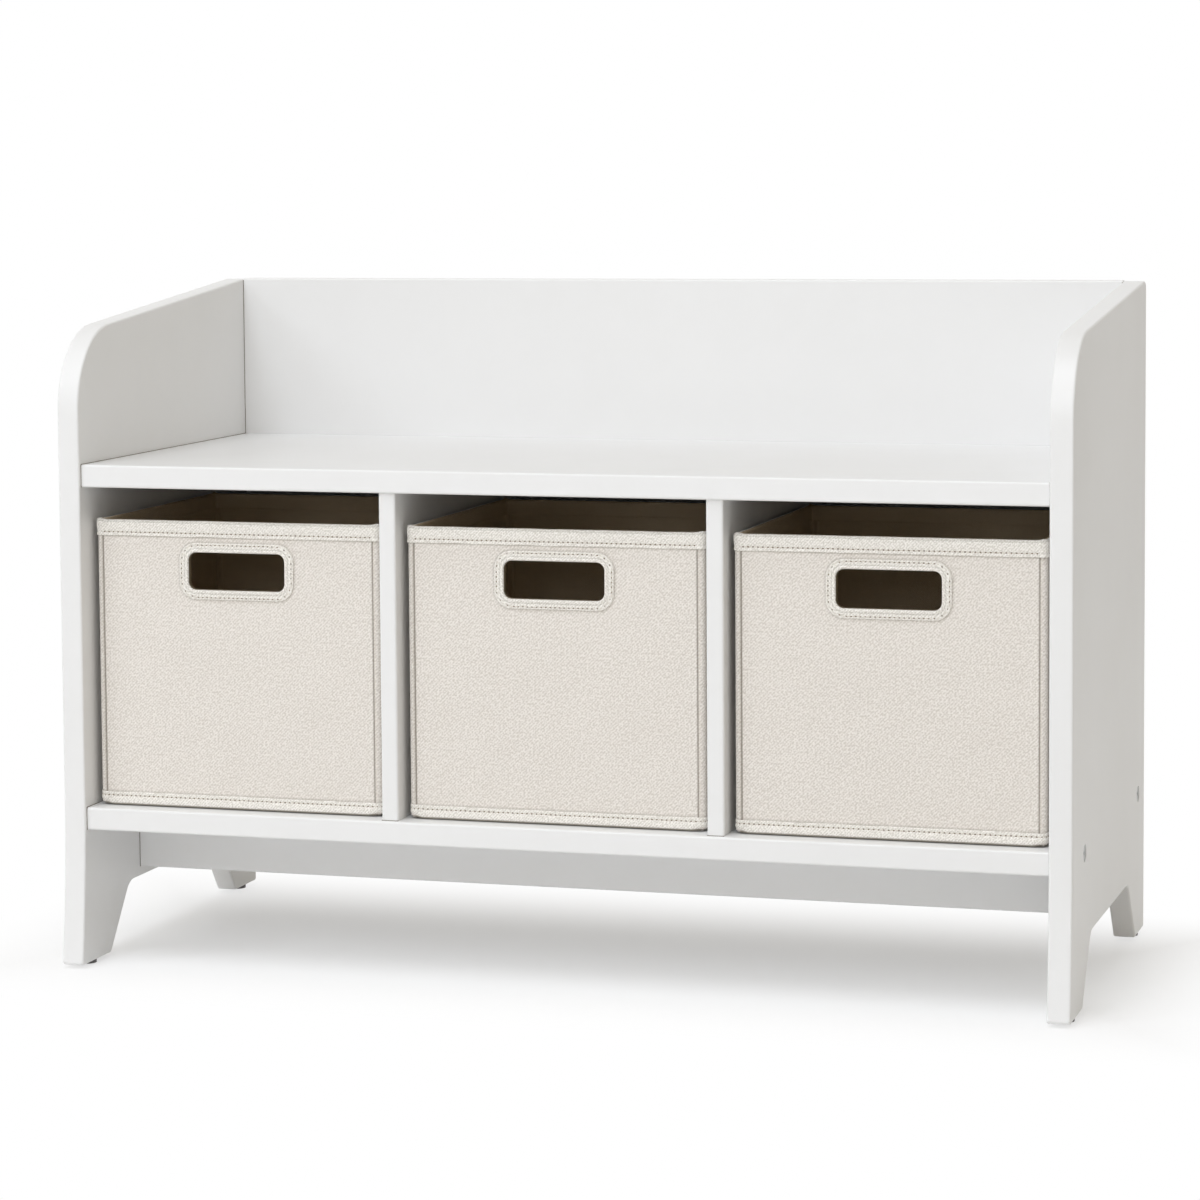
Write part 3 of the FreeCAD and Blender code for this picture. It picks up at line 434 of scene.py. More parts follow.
def coat_group(name):
    """Sprayed paint: a fine orange peel, and wide soft changes of tone and gloss."""
    tree, source, result = new_group(
        name,
        (("Vector", "Vector", None), ("Color", "Color", (0.9, 0.9, 0.9, 1)), ("Roughness", "Float", 0.4),
         ("Peel", "Float", 0.0012)),
        (("Color", "Color"), ("Roughness", "Float"), ("Height", "Float")),
    )
    given = source.outputs
    wide = noise(tree, given["Vector"], 3.5, 3.0, 0.55)
    cloud = noise(tree, given["Vector"], 28.0, 4.0, 0.6)
    peel = noise(tree, given["Vector"], maths(tree, "DIVIDE", 1.0, given["Peel"]), 1.5, 0.4)
    tone = maths(tree, "MULTIPLY_ADD", cloud, 0.5, maths(tree, "MULTIPLY", wide, 0.5))
    tone = maths(tree, "MULTIPLY_ADD", tone, 1.6, -0.45)
    gloss = maths(tree, "MULTIPLY_ADD", wide, 0.14, -0.07)
    wire(tree, result, {
        "Color": between(tree, tone, given["Color"], retoned(tree, given["Color"], 0.97, 1.2)),
        "Roughness": maths(tree, "ADD", given["Roughness"], gloss),
        "Height": maths(tree, "MULTIPLY_ADD", cloud, 0.35, peel),
    })
    return tree


def weave_group(name):
    """Twill cloth on a UV in metres: two sets of uneven yarns, the diagonal ribs where they cross, slubs
    along the yarns and a heathered tone, darkened to a painted shade where the Crease input is high.
    Lengths inside it are counted in yarns."""
    tree, source, result = new_group(
        name,
        (("Vector", "Vector", None), ("Color", "Color", (0.8, 0.75, 0.7, 1)), ("Yarn", "Float", 0.0009),
         ("Heather", "Float", 1.0), ("Crease", "Float", 0.0)),
        (("Color", "Color"), ("Height", "Float")),
    )
    given = source.outputs
    per_yarn = maths(tree, "DIVIDE", 1.0, given["Yarn"])
    yarns = add(tree, "VectorMath", {0: given["Vector"], "Scale": per_yarn}, operation="SCALE").outputs[0]
    bend = maths(tree, "MULTIPLY_ADD", noise(tree, yarns, 0.09), 2.2, -1.1)
    place = add(tree, "SeparateXYZ", {0: yarns}).outputs
    across, up = maths(tree, "ADD", place[0], bend), maths(tree, "ADD", place[1], bend)
    rib = wave(tree, maths(tree, "SUBTRACT", across, up), 3.4)
    parts = (
        (noise(tree, stretched(tree, yarns, (0.8, 0.3, 1)), 1.0, 0.0), 0.4),
        (noise(tree, stretched(tree, yarns, (0.3, 0.8, 1)), 1.0, 0.0), 0.4),
        (noise(tree, yarns, 0.5, 0.0), 1.8),
        (noise(tree, yarns, 0.9, 0.0), 1.0),
        (noise(tree, yarns, 0.1, 1.0), 0.15),
        (noise(tree, yarns, 0.025, 1.0), 0.15),
        (rib, 0.25),
    )
    tone = -sum(weight for _, weight in parts[:-1]) / 2
    for part, weight in parts:
        tone = maths(tree, "MULTIPLY_ADD", part, weight, tone)
    tone = maths(tree, "MULTIPLY", maths(tree, "MULTIPLY", tone, 1.15), given["Heather"])
    tone = add(tree, "Clamp", {"Value": maths(tree, "ADD", tone, 0.5)}).outputs[0]
    threads = maths(tree, "ADD", wave(tree, across, 1.0), wave(tree, up, 1.0))
    threads = maths(tree, "MULTIPLY_ADD", rib, 1.2, threads)
    # The first two are the random heather tones; the third, dark and saturated, is painted shade for folds,
    # hems and seams.
    pale, deep, painted_shade_tone = (
        retoned(tree, given["Color"], *change) for change in ((1.09, 0.85), (0.83, 1.25), (0.25, 2.8))
    )
    wire(tree, result, {
        "Height": maths(tree, "MULTIPLY_ADD", threads, 0.2, maths(tree, "ADD", parts[0][0], parts[2][0])),
        "Color": between(tree, given["Crease"], between(tree, tone, pale, deep), painted_shade_tone),
    })
    return tree


def painted(name, settings):
    """Satin paint."""
    material, tree, shader = new_material(name)
    coat = use_group(tree, "Sprayed coat", coat_group, {
        "Vector": object_place(tree), "Color": tinted(settings.paint), "Roughness": settings.paint_roughness,
        "Peel": settings.peel,
    })
    wire(tree, shader, {
        "Base Color": coat["Color"], "Roughness": coat["Roughness"], "Specular IOR Level": 0.4,
        "Normal": bumped(tree, coat["Height"], 0.12, 0.00006),
    })
    return material


def woven(name, tint, yarn, heather=1.0, relief=0.0002, sheen=0.2):
    """Woven cloth, with a darker colour painted in as shade where the Crease attribute is high, in its
    folds, hems and seams.
    """
    material, tree, shader = new_material(name)
    cloth = use_group(tree, "Twill cloth", weave_group, {
        "Vector": add(tree, "UVMap", uv_map="Cloth").outputs["UV"], "Color": tinted(tint), "Yarn": yarn,
        "Heather": heather, "Crease": add(tree, "Attribute", attribute_name="Crease").outputs["Fac"],
    })
    wire(tree, shader, {
        "Base Color": cloth["Color"], "Normal": bumped(tree, cloth["Height"], 0.7, relief), "Roughness": 0.92,
        "Specular IOR Level": 0.2, "Sheen Weight": sheen, "Sheen Roughness": 0.5,
    })
    return material


def plated(name, tint, roughness, grain):
    """Bare or plated metal with fine turning marks and a little dullness."""
    material, tree, shader = new_material(name)
    marks = noise(tree, object_place(tree), grain, 3.0)
    wire(tree, shader, {
        "Roughness": maths(tree, "MULTIPLY_ADD", marks, 0.2, roughness - 0.1),
        "Base Color": between(tree, marks, tinted(tint, 0.85), tinted(tint, 1.12)), "Metallic": 1.0,
    })
    return material


def grained(name, tint, along, uneven, roughness=0.7):
    """Plain wood, fibreboard, plastic or thread: streaks stretched along one axis, or specks."""
    material, tree, shader = new_material(name)
    streak = noise(tree, stretched(tree, object_place(tree), along), 1.0, 4.0, 0.6)
    wire(tree, shader, {
        "Base Color": between(tree, streak, tinted(tint, 1 - uneven), tinted(tint, 1 + uneven)),
        "Normal": bumped(tree, streak, 0.3, 0.0001), "Roughness": roughness,
    })
    return material


def material_named(name):
    """A material of this scene by its name, made on first use."""
    found = bpy.data.materials.get(name)
    if found:
        return found
    paint, cloth = bpy.context.scene.bench_paint, bpy.context.scene.bin_cloth
    make, *values = {
        "White satin paint": (painted, paint),
        "Plated steel": (plated, paint.steel, 0.36, 900.0),
        "Cast zinc": (plated, paint.zinc, 0.5, 500.0),
        "Beech dowel": (grained, paint.dowel, (60.0, 400.0, 400.0), 0.14),
        "Fibreboard": (grained, paint.fibreboard, (500.0,) * 3, 0.2, 0.9),
        # Dark threads in the joints: painted shade for the gaps between the boards.
        "Open joint": (grained, paint.joint_tone, (300.0,) * 3, 0.2, 0.9),
        "Glide": (grained, paint.glide, (900.0,) * 3, 0.25, 0.55),
        "Canvas": (woven, cloth.canvas, cloth.yarn),
        "Binding tape": (woven, cloth.tape, cloth.yarn * 0.9, 1.3, 0.00018),
        "Lining": (woven, cloth.lining, cloth.yarn * 0.7, 0.5, 0.00012, 0.0),
        # A dark colour on the faces through the wall round the slot: painted shade.
        "Slot edge": (woven, cloth.slot_edge, cloth.yarn * 0.7, 0.5, 0.00012, 0.0),
        "Thread": (grained, cloth.thread, (1500.0,) * 3, 0.1, 0.85),
        # Dark blobs between the stitches: painted shade in the needle holes.
        "Needle hole": (grained, cloth.hole, (1500.0,) * 3, 0.1, 0.95),
    }[name]
    return make(name, *values)


def ease_edges(name, width):
    """Rounds the sharp edges of a board a little, so that its joints show as fine lines."""
    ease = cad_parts[name].modifiers.new("Eased edges", "BEVEL")
    ease.width = width
    ease.segments = 2
    ease.limit_method = "ANGLE"
    ease.angle_limit = math.radians(50)
    ease.harden_normals = False


def finish_piece(item, materials, body, slot, *nodes):
    """Gives a new piece its materials and its body, and hides the nodes that it stands for. The slot is not
    used.
    """
    for name in materials:
        item.data.materials.append(material_named(name))
    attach(item, body)
    if nodes:
        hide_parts(*nodes)


def dress_node(name, material):
    """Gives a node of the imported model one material."""
    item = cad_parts[name]
    if not item.material_slots:
        item.data.materials.append(None)
    for place in item.material_slots:
        place.link = "OBJECT"
        place.material = material_named(material)


# Bin pieces


def bin_loop(side, piece, corner, grow=0.0):
    """The plan loop of a bin's node, moved outward by an amount, with the heights of its foot and its top."""
    low, high = (np.array(end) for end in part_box(f"{side}_bin_{piece}"))
    return Loop(low[:2] - grow, high[:2] + grow, corner), low[2], high[2]


def slot_box(side):
    """Low and high corner of the hand slot's opening in a bin's front wall."""
    low, high = (np.array(end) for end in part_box(f"{side}_bin_handle_patch"))
    border = bpy.context.scene.bin_cloth.slot_border
    return low + border, high - border


def slot_face(side):
    """Where the front wall's face lies under the slot's patch."""
    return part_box(f"{side}_bin_handle_patch")[0][1] + 0.001


def slot_distance(x, z, low, high, corner):
    """Signed distance from points of the wall to the slot's outline, negative inside: the distance to a
    smaller rectangle, less the corner's radius."""
    dx = np.maximum(low[0] + corner - x, x - high[0] + corner)
    dz = np.maximum(low[2] + corner - z, z - high[2] + corner)
    outside = np.hypot(np.maximum(dx, 0), np.maximum(dz, 0))
    return outside + np.minimum(np.maximum(dx, dz), 0) - corner


def cell_middles(values):
    """Means over the four corners of each cell of a grid that closes on itself along its first way."""
    closed = np.concatenate([values, values[:1]])
    return (closed[:-1, :-1] + closed[1:, :-1] + closed[1:, 1:] + closed[:-1, 1:]) / 4


def wall_rows(low, high, slot_low, slot_high):
    """Heights of the rows of a wall: fine beside the slot and coarser elsewhere."""
    marks = [low, low + 0.014, slot_low - 0.012, slot_high + 0.006, high]
    steps = (0.0012, 0.0035, 0.002, 0.0012)
    rows = [
        np.linspace(start, end, max(2, round((end - start) / step)) + 1)[:-1]
        for start, end, step in zip(marks, marks[1:], steps)
    ]
    return np.append(np.concatenate(rows), high)


class WallGrid:
    """The grid of a wall cloth: rows of points along a plan loop. It keeps the way walked s, the height z,
    the distance from the hand slot, and whether it faces the front. keep marks the cells outside the slot and
    a margin round it, and size is the cloth's flat size."""

    def __init__(self, side, node, corner, grow, start, margin):
        self.loop, self.low, self.high = bin_loop(side, node, corner, grow)
        low, high = slot_box(side)
        self.rows = wall_rows(self.low + start, self.high, low[2], high[2])
        self.s, self.z = np.meshgrid(self.loop.s, self.rows, indexing="ij")
        self.facing = (self.loop.wall == "front")[:, None]
        slot_corner = bpy.context.scene.bin_cloth.slot_corner
        self.gap = slot_distance(self.loop.points[:, :1], self.z, low, high, slot_corner)
        at_front = cell_middles(self.facing * np.ones_like(self.z)) >= 0.5
        self.keep = (cell_middles(self.gap) > margin) | ~at_front
        self.size = (self.loop.total, self.high - self.low)

    def calm(self, margin):
        """0 near the slot and 1 away from it and on the other walls."""
        return np.where(self.facing, ramp(self.gap - margin, 0.03), 1.0)


def thicken(item, thickness):
    """Gives a sheet its thickness, inward."""
    solid = item.modifiers.new("Cloth thickness", "SOLIDIFY")
    solid.thickness = thickness
    solid.offset = -1.0
    solid.use_even_offset = True


def canvas_wall(side):
    """The outer cloth: the plan loop lifted to each height. At an upright corner it stands off the flat wall
    by the strip over the round of the corner, less a groove along the seam line on each side of the strip.
    Between the corners it stands off by soft waves, which die out at the bindings and round the slot.
    Painted shade darkens it along the seam lines, the edges of the bindings and the border of the slot's
    patch."""
    cloth = bpy.context.scene.bin_cloth
    grid = WallGrid(side, "canvas", CANVAS_CORNER, grow=0.0, start=0.0015, margin=0.0035)
    loop, s, z = grid.loop, grid.s, grid.z
    strip, strip_edge, groove, groove_width = 0.0004, 0.0008, 0.0009, 0.0011
    calm_foot, calm_rim, calm_corner = 0.05, 0.03, 0.03
    seam = loop.corner - loop.arc / 2 - SEAM
    relief = strip * np.clip(0.5 - seam / strip_edge, 0, 1) - groove * hump(seam, groove_width)
    calm = ramp(z - grid.low, calm_foot) * ramp(grid.high - z, calm_rim) * grid.calm(margin=0.009)
    calm = calm * ramp(loop.corner - loop.arc / 2, calm_corner)[:, None]
    seed = BINS.index(side)
    waves = 0.6 * ripple(s, z, size=0.12, seed=seed) + 0.4 * ripple(s, z, size=0.05, seed=seed + 10)
    points = loop.lift(relief[:, None] + cloth.ripple * (1 + waves) * calm, z)
    hem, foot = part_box(f"{side}_bin_rim_binding")[0][2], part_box(f"{side}_bin_foot_binding")[1][2]
    # Painted shade: darker along the seam lines, beside the hems of both tapes and round the slot's patch.
    painted_shade_amount = np.maximum(0.85 * hump(seam, width=0.0012)[:, None], 0.4 * hump(z - hem, width=0.0018))
    painted_shade_amount = np.maximum(painted_shade_amount, 0.4 * hump(z - foot, width=0.0018))
    painted_shade_amount = np.maximum(painted_shade_amount, 0.3 * grid.facing * hump(grid.gap - cloth.slot_border, width=0.0022))
    name = f"{side}_bin_canvas_wall"
    item = grid_object(name, points, loop.lengths(), grid.rows, keep=grid.keep, painted_shade_amount=painted_shade_amount)
    thicken(item, cloth.cloth)
    return item, grid.size


def lining_wall(side):
    """The inner cloth: the same walk as the outer one, seen from inside. The seam allowances at its corners
    stand into the bin, with a groove beside each. It reaches from the floor to the top of the walls."""
    cloth = bpy.context.scene.bin_cloth
    grid = WallGrid(side, "lining", LINING_CORNER, grow=-cloth.lining_cloth, start=0.001, margin=0.0015)
    loop, s, z = grid.loop, grid.s, grid.z
    allowance, allowance_width, groove, groove_place, groove_width = 0.0005, 0.0022, 0.0002, 0.0024, 0.0008
    wave_height, calm_rim = 0.0003, 0.05
    seam = loop.corner - loop.arc / 2 - allowance_width
    inward = allowance * hump(seam, allowance_width) - groove * hump(seam - groove_place, groove_width)
    waves = ripple(s, z, size=0.1, seed=20 + BINS.index(side)) * ramp(grid.high - z, calm_rim)
    points = loop.lift(-inward[:, None] - wave_height * (1 + waves) * grid.calm(margin=0.006), z)
    name = f"{side}_bin_lining_wall"
    item = grid_object(name, points, loop.lengths(), grid.rows, keep=grid.keep, flip=True)
    thicken(item, cloth.lining_cloth * 0.8)
    return item, grid.size


def floor_cloth(side, node, part, height, inset, facing_up, thickness, dip):
    """A flat cloth panel of a bin's floor: a grid over the plan, a little wavy, and lower towards its
    edges."""
    low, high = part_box(f"{side}_bin_{node}")
    width, depth = (np.linspace(low[k] + inset, high[k] - inset, count) for k, count in ((0, 40), (1, 48)))
    x, y = np.meshgrid(width, depth, indexing="ij")
    edge = np.minimum(np.minimum(x - x.min(), x.max() - x), np.minimum(y - y.min(), y.max() - y))
    wave_height, dip_width, calm_edge = 0.0003, 0.012, 0.004
    waves = ripple(x, y, size=0.12, seed=40 + BINS.index(side)) * wave_height
    z = height + (waves - dip * hump(edge, dip_width)) * np.clip(edge / calm_edge, 0.3, 1)
    points = np.stack([x, y, z], -1)
    name, across, along = f"{side}_bin_{node}_{part}", width - width[0], depth - depth[0]
    item = grid_object(name, points, across, along, closed="", flip=not facing_up)
    thicken(item, thickness)
    return item, (across[-1], along[-1])


def ring_lengths(profile):
    """Arc lengths along a closed profile, with the closing one at the end."""
    steps = np.roll(profile, -1, 0) - profile
    return np.concatenate([[0], np.cumsum(np.linalg.norm(steps, axis=1))])


def resampled(profile, step):
    """Points at even steps along a closed profile that is given by its corners."""
    lengths = ring_lengths(profile)
    s = np.linspace(0, lengths[-1], max(8, round(lengths[-1] / step)) + 1)[:-1]
    return np.stack([np.interp(s, lengths, np.append(column, column[0])) for column in profile.T], -1)


def rounded(profile, radius):
    """A closed profile with each corner replaced by points on a curve that starts and ends a radius away from
    it."""
    before, after = np.roll(profile, 1, 0) - profile, np.roll(profile, -1, 0) - profile
    run_before, run_after = np.linalg.norm(before, axis=1), np.linalg.norm(after, axis=1)
    reach = np.minimum(radius, np.minimum(run_before, run_after) * 0.49)
    start = profile + before * (reach / run_before)[:, None]
    end = profile + after * (reach / run_after)[:, None]
    t = np.linspace(0, 1, 6)[None, :, None]
    curve = (1 - t) ** 2 * start[:, None] + 2 * t * (1 - t) * profile[:, None] + t**2 * end[:, None]
    return curve.reshape(-1, 2)


class Tape:
    """A sewn tape: a closed cross-section, given by the corners' places out and up and by their radii,
    carried round a bin's plan loop. Its outer leg is drawn in along its row of stitches, most between one
    stitch and the next, and swells a little between the row and its far edge. offset and z are the grids of
    places out and up, outer is 1 on the outer leg, and pull is 1 between the stitches and 0 on them."""

    def __init__(self, loop, corners, radii, row, far, swell):
        cloth = bpy.context.scene.bin_cloth
        self.loop, self.row = loop, row
        self.profile = resampled(rounded(np.array(corners), np.array(radii)), TAPE_STEP)
        self.s = np.repeat(loop.s[:, None], len(self.profile), 1)
        self.z = self.profile[:, 1] + 0 * self.s
        self.outer = (self.profile[:, 0] > -cloth.cloth * 0.6).astype(float)
        self.pull = 0.5 + 0.5 * np.cos(TURN * self.s / cloth.stitch)
        draw = DRAWN * hump(self.z - row, DRAWN_WIDTH) * (0.6 + 0.4 * self.pull)
        swelling = SWELL * hump(self.z - (row + far) / 2 - 0.0005, swell)
        self.offset = self.profile[:, 0] + self.outer * (swelling - draw)

    def made(self, name, painted_shade_amount, tones=None):
        """The tape as an object."""
        points, along = self.loop.lift(self.offset, self.z), self.loop.lengths()
        return grid_object(name, points, along, ring_lengths(self.profile), "uv", tones=tones, painted_shade_amount=painted_shade_amount)


def rim_binding(side):
    """The tape over the rim: a folded strip with two legs and a round top. Its hem wanders a little, and it
    is thicker at the corners, where it is folded. The leg inside the bin has the lining's colour."""
    cloth = bpy.context.scene.bin_cloth
    loop, low, high = bin_loop(side, "rim_binding", TAPE_CORNER)
    outside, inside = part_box(f"{side}_bin_rim_binding")[0][1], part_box(f"{side}_bin_lining")[0][1]
    wall = inside - outside + cloth.lining_cloth + 0.0009
    t = cloth.cloth
    corners = (
        (-t, low), (0, low), (0, high), (-wall, high), (-wall, low), (t * 0.8 - wall, low),
        (t * 0.8 - wall, high - t), (-t, high - t),
    )
    radii = (0.0003, 0.0006, 0.0022, 0.0018, 0.0004, 0.0003, 0.0002, 0.0002)
    tape = Tape(loop, corners, radii, row=low + cloth.row, far=high, swell=0.0045)
    out, up = tape.profile.T
    seed = 60 + BINS.index(side)
    hem_out, hem_height, hem_pull, wander = 0.00025, 0.002, 0.0003, 0.0004
    fold_width, fold_out, fold_up = 0.0095, 0.0005, 0.0011
    top = ramp(up - low, high - low)
    fold = hump(loop.corner, fold_width)[:, None]
    hem = hem_out * hump(up - low, hem_height) * (1 + ripple(tape.s, 0, size=0.02, seed=seed))
    waves = wander * ripple(tape.s, 0, size=0.045, seed=seed + 3)
    tape.offset += tape.outer * (hem + fold * fold_out)
    tape.z += waves * (1 - 0.6 * top) + fold * fold_up * top
    tape.z -= hem_pull * hump(up - low, hem_height) * tape.pull
    # Painted shade along the row of stitches and in a line near the top of the outer leg.
    painted_shade_amount = tape.outer * (0.08 * hump(up - tape.row, 0.0011) + 0.3 * hump(up - high + 0.0016, 0.0009))
    inner = (out + np.roll(out, -1)) / 2 < -wall * 0.6
    tones = np.broadcast_to(inner, tape.s.shape).astype(int)
    return tape.made(f"{side}_bin_rim_tape", painted_shade_amount, tones), loop, tape.row


def foot_binding(side):
    """The tape round the foot: a strip turned under the bin. Its lower edge is round, most of all at the
    corners, and its hem wanders a little."""
    cloth = bpy.context.scene.bin_cloth
    loop, low, high = bin_loop(side, "foot_binding", TAPE_CORNER)
    t, under, wander = cloth.cloth, 0.011, 0.0004
    fold_width, tuck_height, tuck_in, tuck_up, tuck_reach = 0.012, 0.0075, 0.0032, 0.0024, 0.006
    corners = ((-t, high), (-t, low + t), (-under, low + t), (-under, low), (0, low), (0, high))
    radii = (0.0003, 0.0006, 0.0002, 0.0003, 0.003, 0.0006)
    tape = Tape(loop, corners, radii, row=high - cloth.row, far=low, swell=0.004)
    up = tape.profile[:, 1]
    fold = hump(loop.corner, fold_width)[:, None]
    tuck = ramp(low + tuck_height - up, tuck_height) ** 2
    tape.offset -= fold * tape.outer * tuck_in * tuck
    tape.z += fold * tuck_up * tuck * np.clip(1 + tape.offset / tuck_reach, 0, 1)
    waves = wander * ripple(tape.s, 0, size=0.04, seed=70 + BINS.index(side))
    tape.z += waves * np.clip((tape.z - tape.row) / cloth.row + 0.5, 0, 1)
    # Painted shade along the row of stitches, and a dark painted shadow along the tape's lower edge and
    # underside.
    painted_shade_amount = tape.outer * 0.08 * hump(up - tape.row, 0.0011) + np.clip((low + 0.0024 - up) / 0.0012, 0, 0.95)
    return tape.made(f"{side}_bin_foot_tape", painted_shade_amount), loop, tape.row


def handle_patch(side):
    """The patch and the binding of the hand slot: a closed cross-section carried round the slot. It runs in
    over a row of stitches and a valley to a thick rolled edge, through the wall, and ends in a flange on the
    lining. Its faces through the wall are dark with painted shade, and painted shade darkens the row and the
    valley."""
    cloth = bpy.context.scene.bin_cloth
    low, high = slot_box(side)
    border, face = cloth.slot_border, slot_face(side)
    row = border - PATCH_ROW
    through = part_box(f"{side}_bin_lining")[0][1] + cloth.lining_cloth - face
    profile = np.array([
        (border, 0.0001), (border, -0.0007), (border - 0.0004, -0.0011), (border - 0.0012, -0.0012),
        (row, -0.0009), (border - 0.0026, -0.0012), (border - 0.0042, -0.00125), (0.0034, -0.0009),
        (0.0028, -0.0013), (0.0020, -0.0018), (0.0012, -0.0019), (0.0006, -0.0016), (0.0003, -0.0010),
        (0.0, -0.0002), (-0.0001, through), (0.0001, through + 0.0006), (0.0006, through + 0.0008),
        (0.0026, through + 0.0008), (0.0033, through + 0.0005), (0.0034, through - 0.0001),
        (0.0006, through - 0.0003), (0.0006, 0.0001),
    ])
    reach, depth = profile.T
    flat, _, lengths = slot_outline(low, high, cloth.slot_corner, reach, 320)
    s = np.repeat(lengths[:-1, None], len(profile), 1)
    dip_depth, dip_width, wave_height = 0.00016, 0.0012, 0.00012
    dip = dip_depth * hump(reach - row, dip_width) * np.cos(TURN * s / cloth.stitch)
    waves = wave_height * ripple(s, reach, size=0.02, seed=80 + BINS.index(side))
    y = face + depth + (depth < 0) * (dip + waves)
    points = np.stack([flat[..., 0], y, flat[..., 1]], -1)
    # Painted shade along the row of stitches and in the valley before the rolled edge.
    painted_shade_amount = (0.08 * hump(reach - row, 0.001) + 0.35 * hump(reach - 0.0036, 0.0008)) * (depth < 0)
    after = np.roll(depth, -1)
    # Faces through the wall take the third, dark material: painted shade in the slot.
    tone = np.where(np.minimum(depth, after) > through * 0.8, 1, np.where(after > 0.0003, 2, 0))
    tones = np.broadcast_to(tone, s.shape)
    return grid_object(
        f"{side}_bin_handle_ring", points, lengths, ring_lengths(profile), "uv", tones=tones, painted_shade_amount=painted_shade_amount
    )


def stitch_pattern():
    """A cube with each side cut into 2 by 2 squares and pushed out to a ball: its 26 points and 24 quads."""
    cells = np.array([(-1, -1), (-1, 0), (0, -1), (0, 0)])
    squares = cells[:, None] + np.array([(0, 0), (1, 0), (1, 1), (0, 1)])
    quads = []
    for axis in range(3):
        for end in (-1, 1):
            place = np.full((4, 4, 3), end)
            place[..., (axis + 1) % 3] = squares[..., 0]
            place[..., (axis + 2) % 3] = squares[..., 1]
            quads.append(place[:, ::end])
    points, faces = np.unique(np.concatenate(quads).reshape(-1, 3), axis=0, return_inverse=True)
    return points / np.linalg.norm(points, axis=1, keepdims=True), faces.reshape(-1, 4)


def stitch_points(middle, along, out, size, radius):
    """Rounded stitches at each middle: the ball stretched along the row and half sunk into the cloth."""
    ball, faces = stitch_pattern()
    x, y, z = ball.T[..., None]
    body = np.sign(x) * np.abs(x) ** 0.6 * size / 2
    across = np.cross(along, out)[:, None]
    points = middle[:, None] + along[:, None] * body + across * y * radius + out[:, None] * z * radius * 0.75
    numbers = faces[None] + (np.arange(len(middle)) * len(ball))[:, None, None]
    return points.reshape(-1, 3), numbers.reshape(-1, 4)


def row_on_loop(loop, height, pitch):
    """Middles, directions and outward normals of the stitches of a level row round a bin."""
    count = round(loop.total / pitch)
    plan, normal = loop.at((np.arange(count) + 0.5) * loop.total / count)
    middle = np.column_stack([plan - normal * IN_TAPE, np.full(count, height)])
    out = np.column_stack([normal, np.zeros(count)])
    return middle, np.cross([0, 0, 1], out), out


def row_round_slot(side, pitch):
    """The same for the row in the patch round a hand slot."""
    cloth = bpy.context.scene.bin_cloth
    low, high = slot_box(side)
    count = round(2 * (high[0] - low[0] + high[2] - low[2]) / pitch)
    reach = np.array([cloth.slot_border - PATCH_ROW])
    flat, away, _ = slot_outline(low, high, cloth.slot_corner, reach, count)
    middle = np.insert(flat[:, 0], 1, slot_face(side) - ON_PATCH, axis=1)
    out = np.tile([0.0, -1.0, 0.0], (count, 1))
    return middle, np.cross(out, np.insert(away, 1, 0, axis=1)), out


def seam_rows(side, foot_row, rim_row):
    """The same for the two rows of each upright corner seam, one in each edge of its strip."""
    pitch = bpy.context.scene.bin_cloth.seam_stitch
    loop, _, _ = bin_loop(side, "canvas", CANVAS_CORNER)
    above_foot, left_out, from_seam = 0.006, 0.01, 0.0016
    count = round((rim_row - foot_row) / pitch)
    heights = foot_row + above_foot + (np.arange(count) + 0.5) * (rim_row - foot_row - left_out) / count
    reach = loop.arc / 2 + SEAM - from_seam
    for corner in loop.corner_places:
        for place in (corner - reach, corner + reach):
            plan, normal = loop.at(np.full(count, place))
            middle = np.column_stack([plan + normal * ON_SEAM, heights])
            yield middle, np.tile([0.0, 0.0, 1.0], (count, 1)), np.insert(normal, 2, 0, axis=1)


def stitches(side, rim, rim_row, foot, foot_row):
    """All the stitches that show on a bin's outside: rows in the two tapes, round the slot and in the corner
    seams. In the first three rows, a dark blob, painted shade for a needle hole, lies between one stitch and
    the next."""
    pitch = bpy.context.scene.bin_cloth.stitch
    seam_pitch = bpy.context.scene.bin_cloth.seam_stitch
    rows = [row_on_loop(rim, rim_row, pitch), row_on_loop(foot, foot_row, pitch), row_round_slot(side, pitch)]
    parts = [(0, stitch_points(*row, pitch * STITCH_SHARE, STITCH_RADIUS)) for row in rows]
    for middle, along, out in rows:
        between = (middle + np.roll(middle, -1, 0)) / 2 + out * 0.00002
        parts.append((1, stitch_points(between, along, out, HOLE, HOLE_RADIUS)))
    for row in seam_rows(side, foot_row, rim_row):
        parts.append((0, stitch_points(*row, seam_pitch * SEAM_STITCH_SHARE, SEAM_STITCH_RADIUS)))
    points = np.concatenate([places for _, (places, _) in parts])
    first = np.cumsum([0] + [len(places) for _, (places, _) in parts])
    faces = np.concatenate([quads + shift for (_, (_, quads)), shift in zip(parts, first)])
    tones = np.concatenate([np.full(len(quads), tone) for tone, (_, quads) in parts])
    return make_mesh(f"{side}_bin_stitches", points, faces, tones=tones)


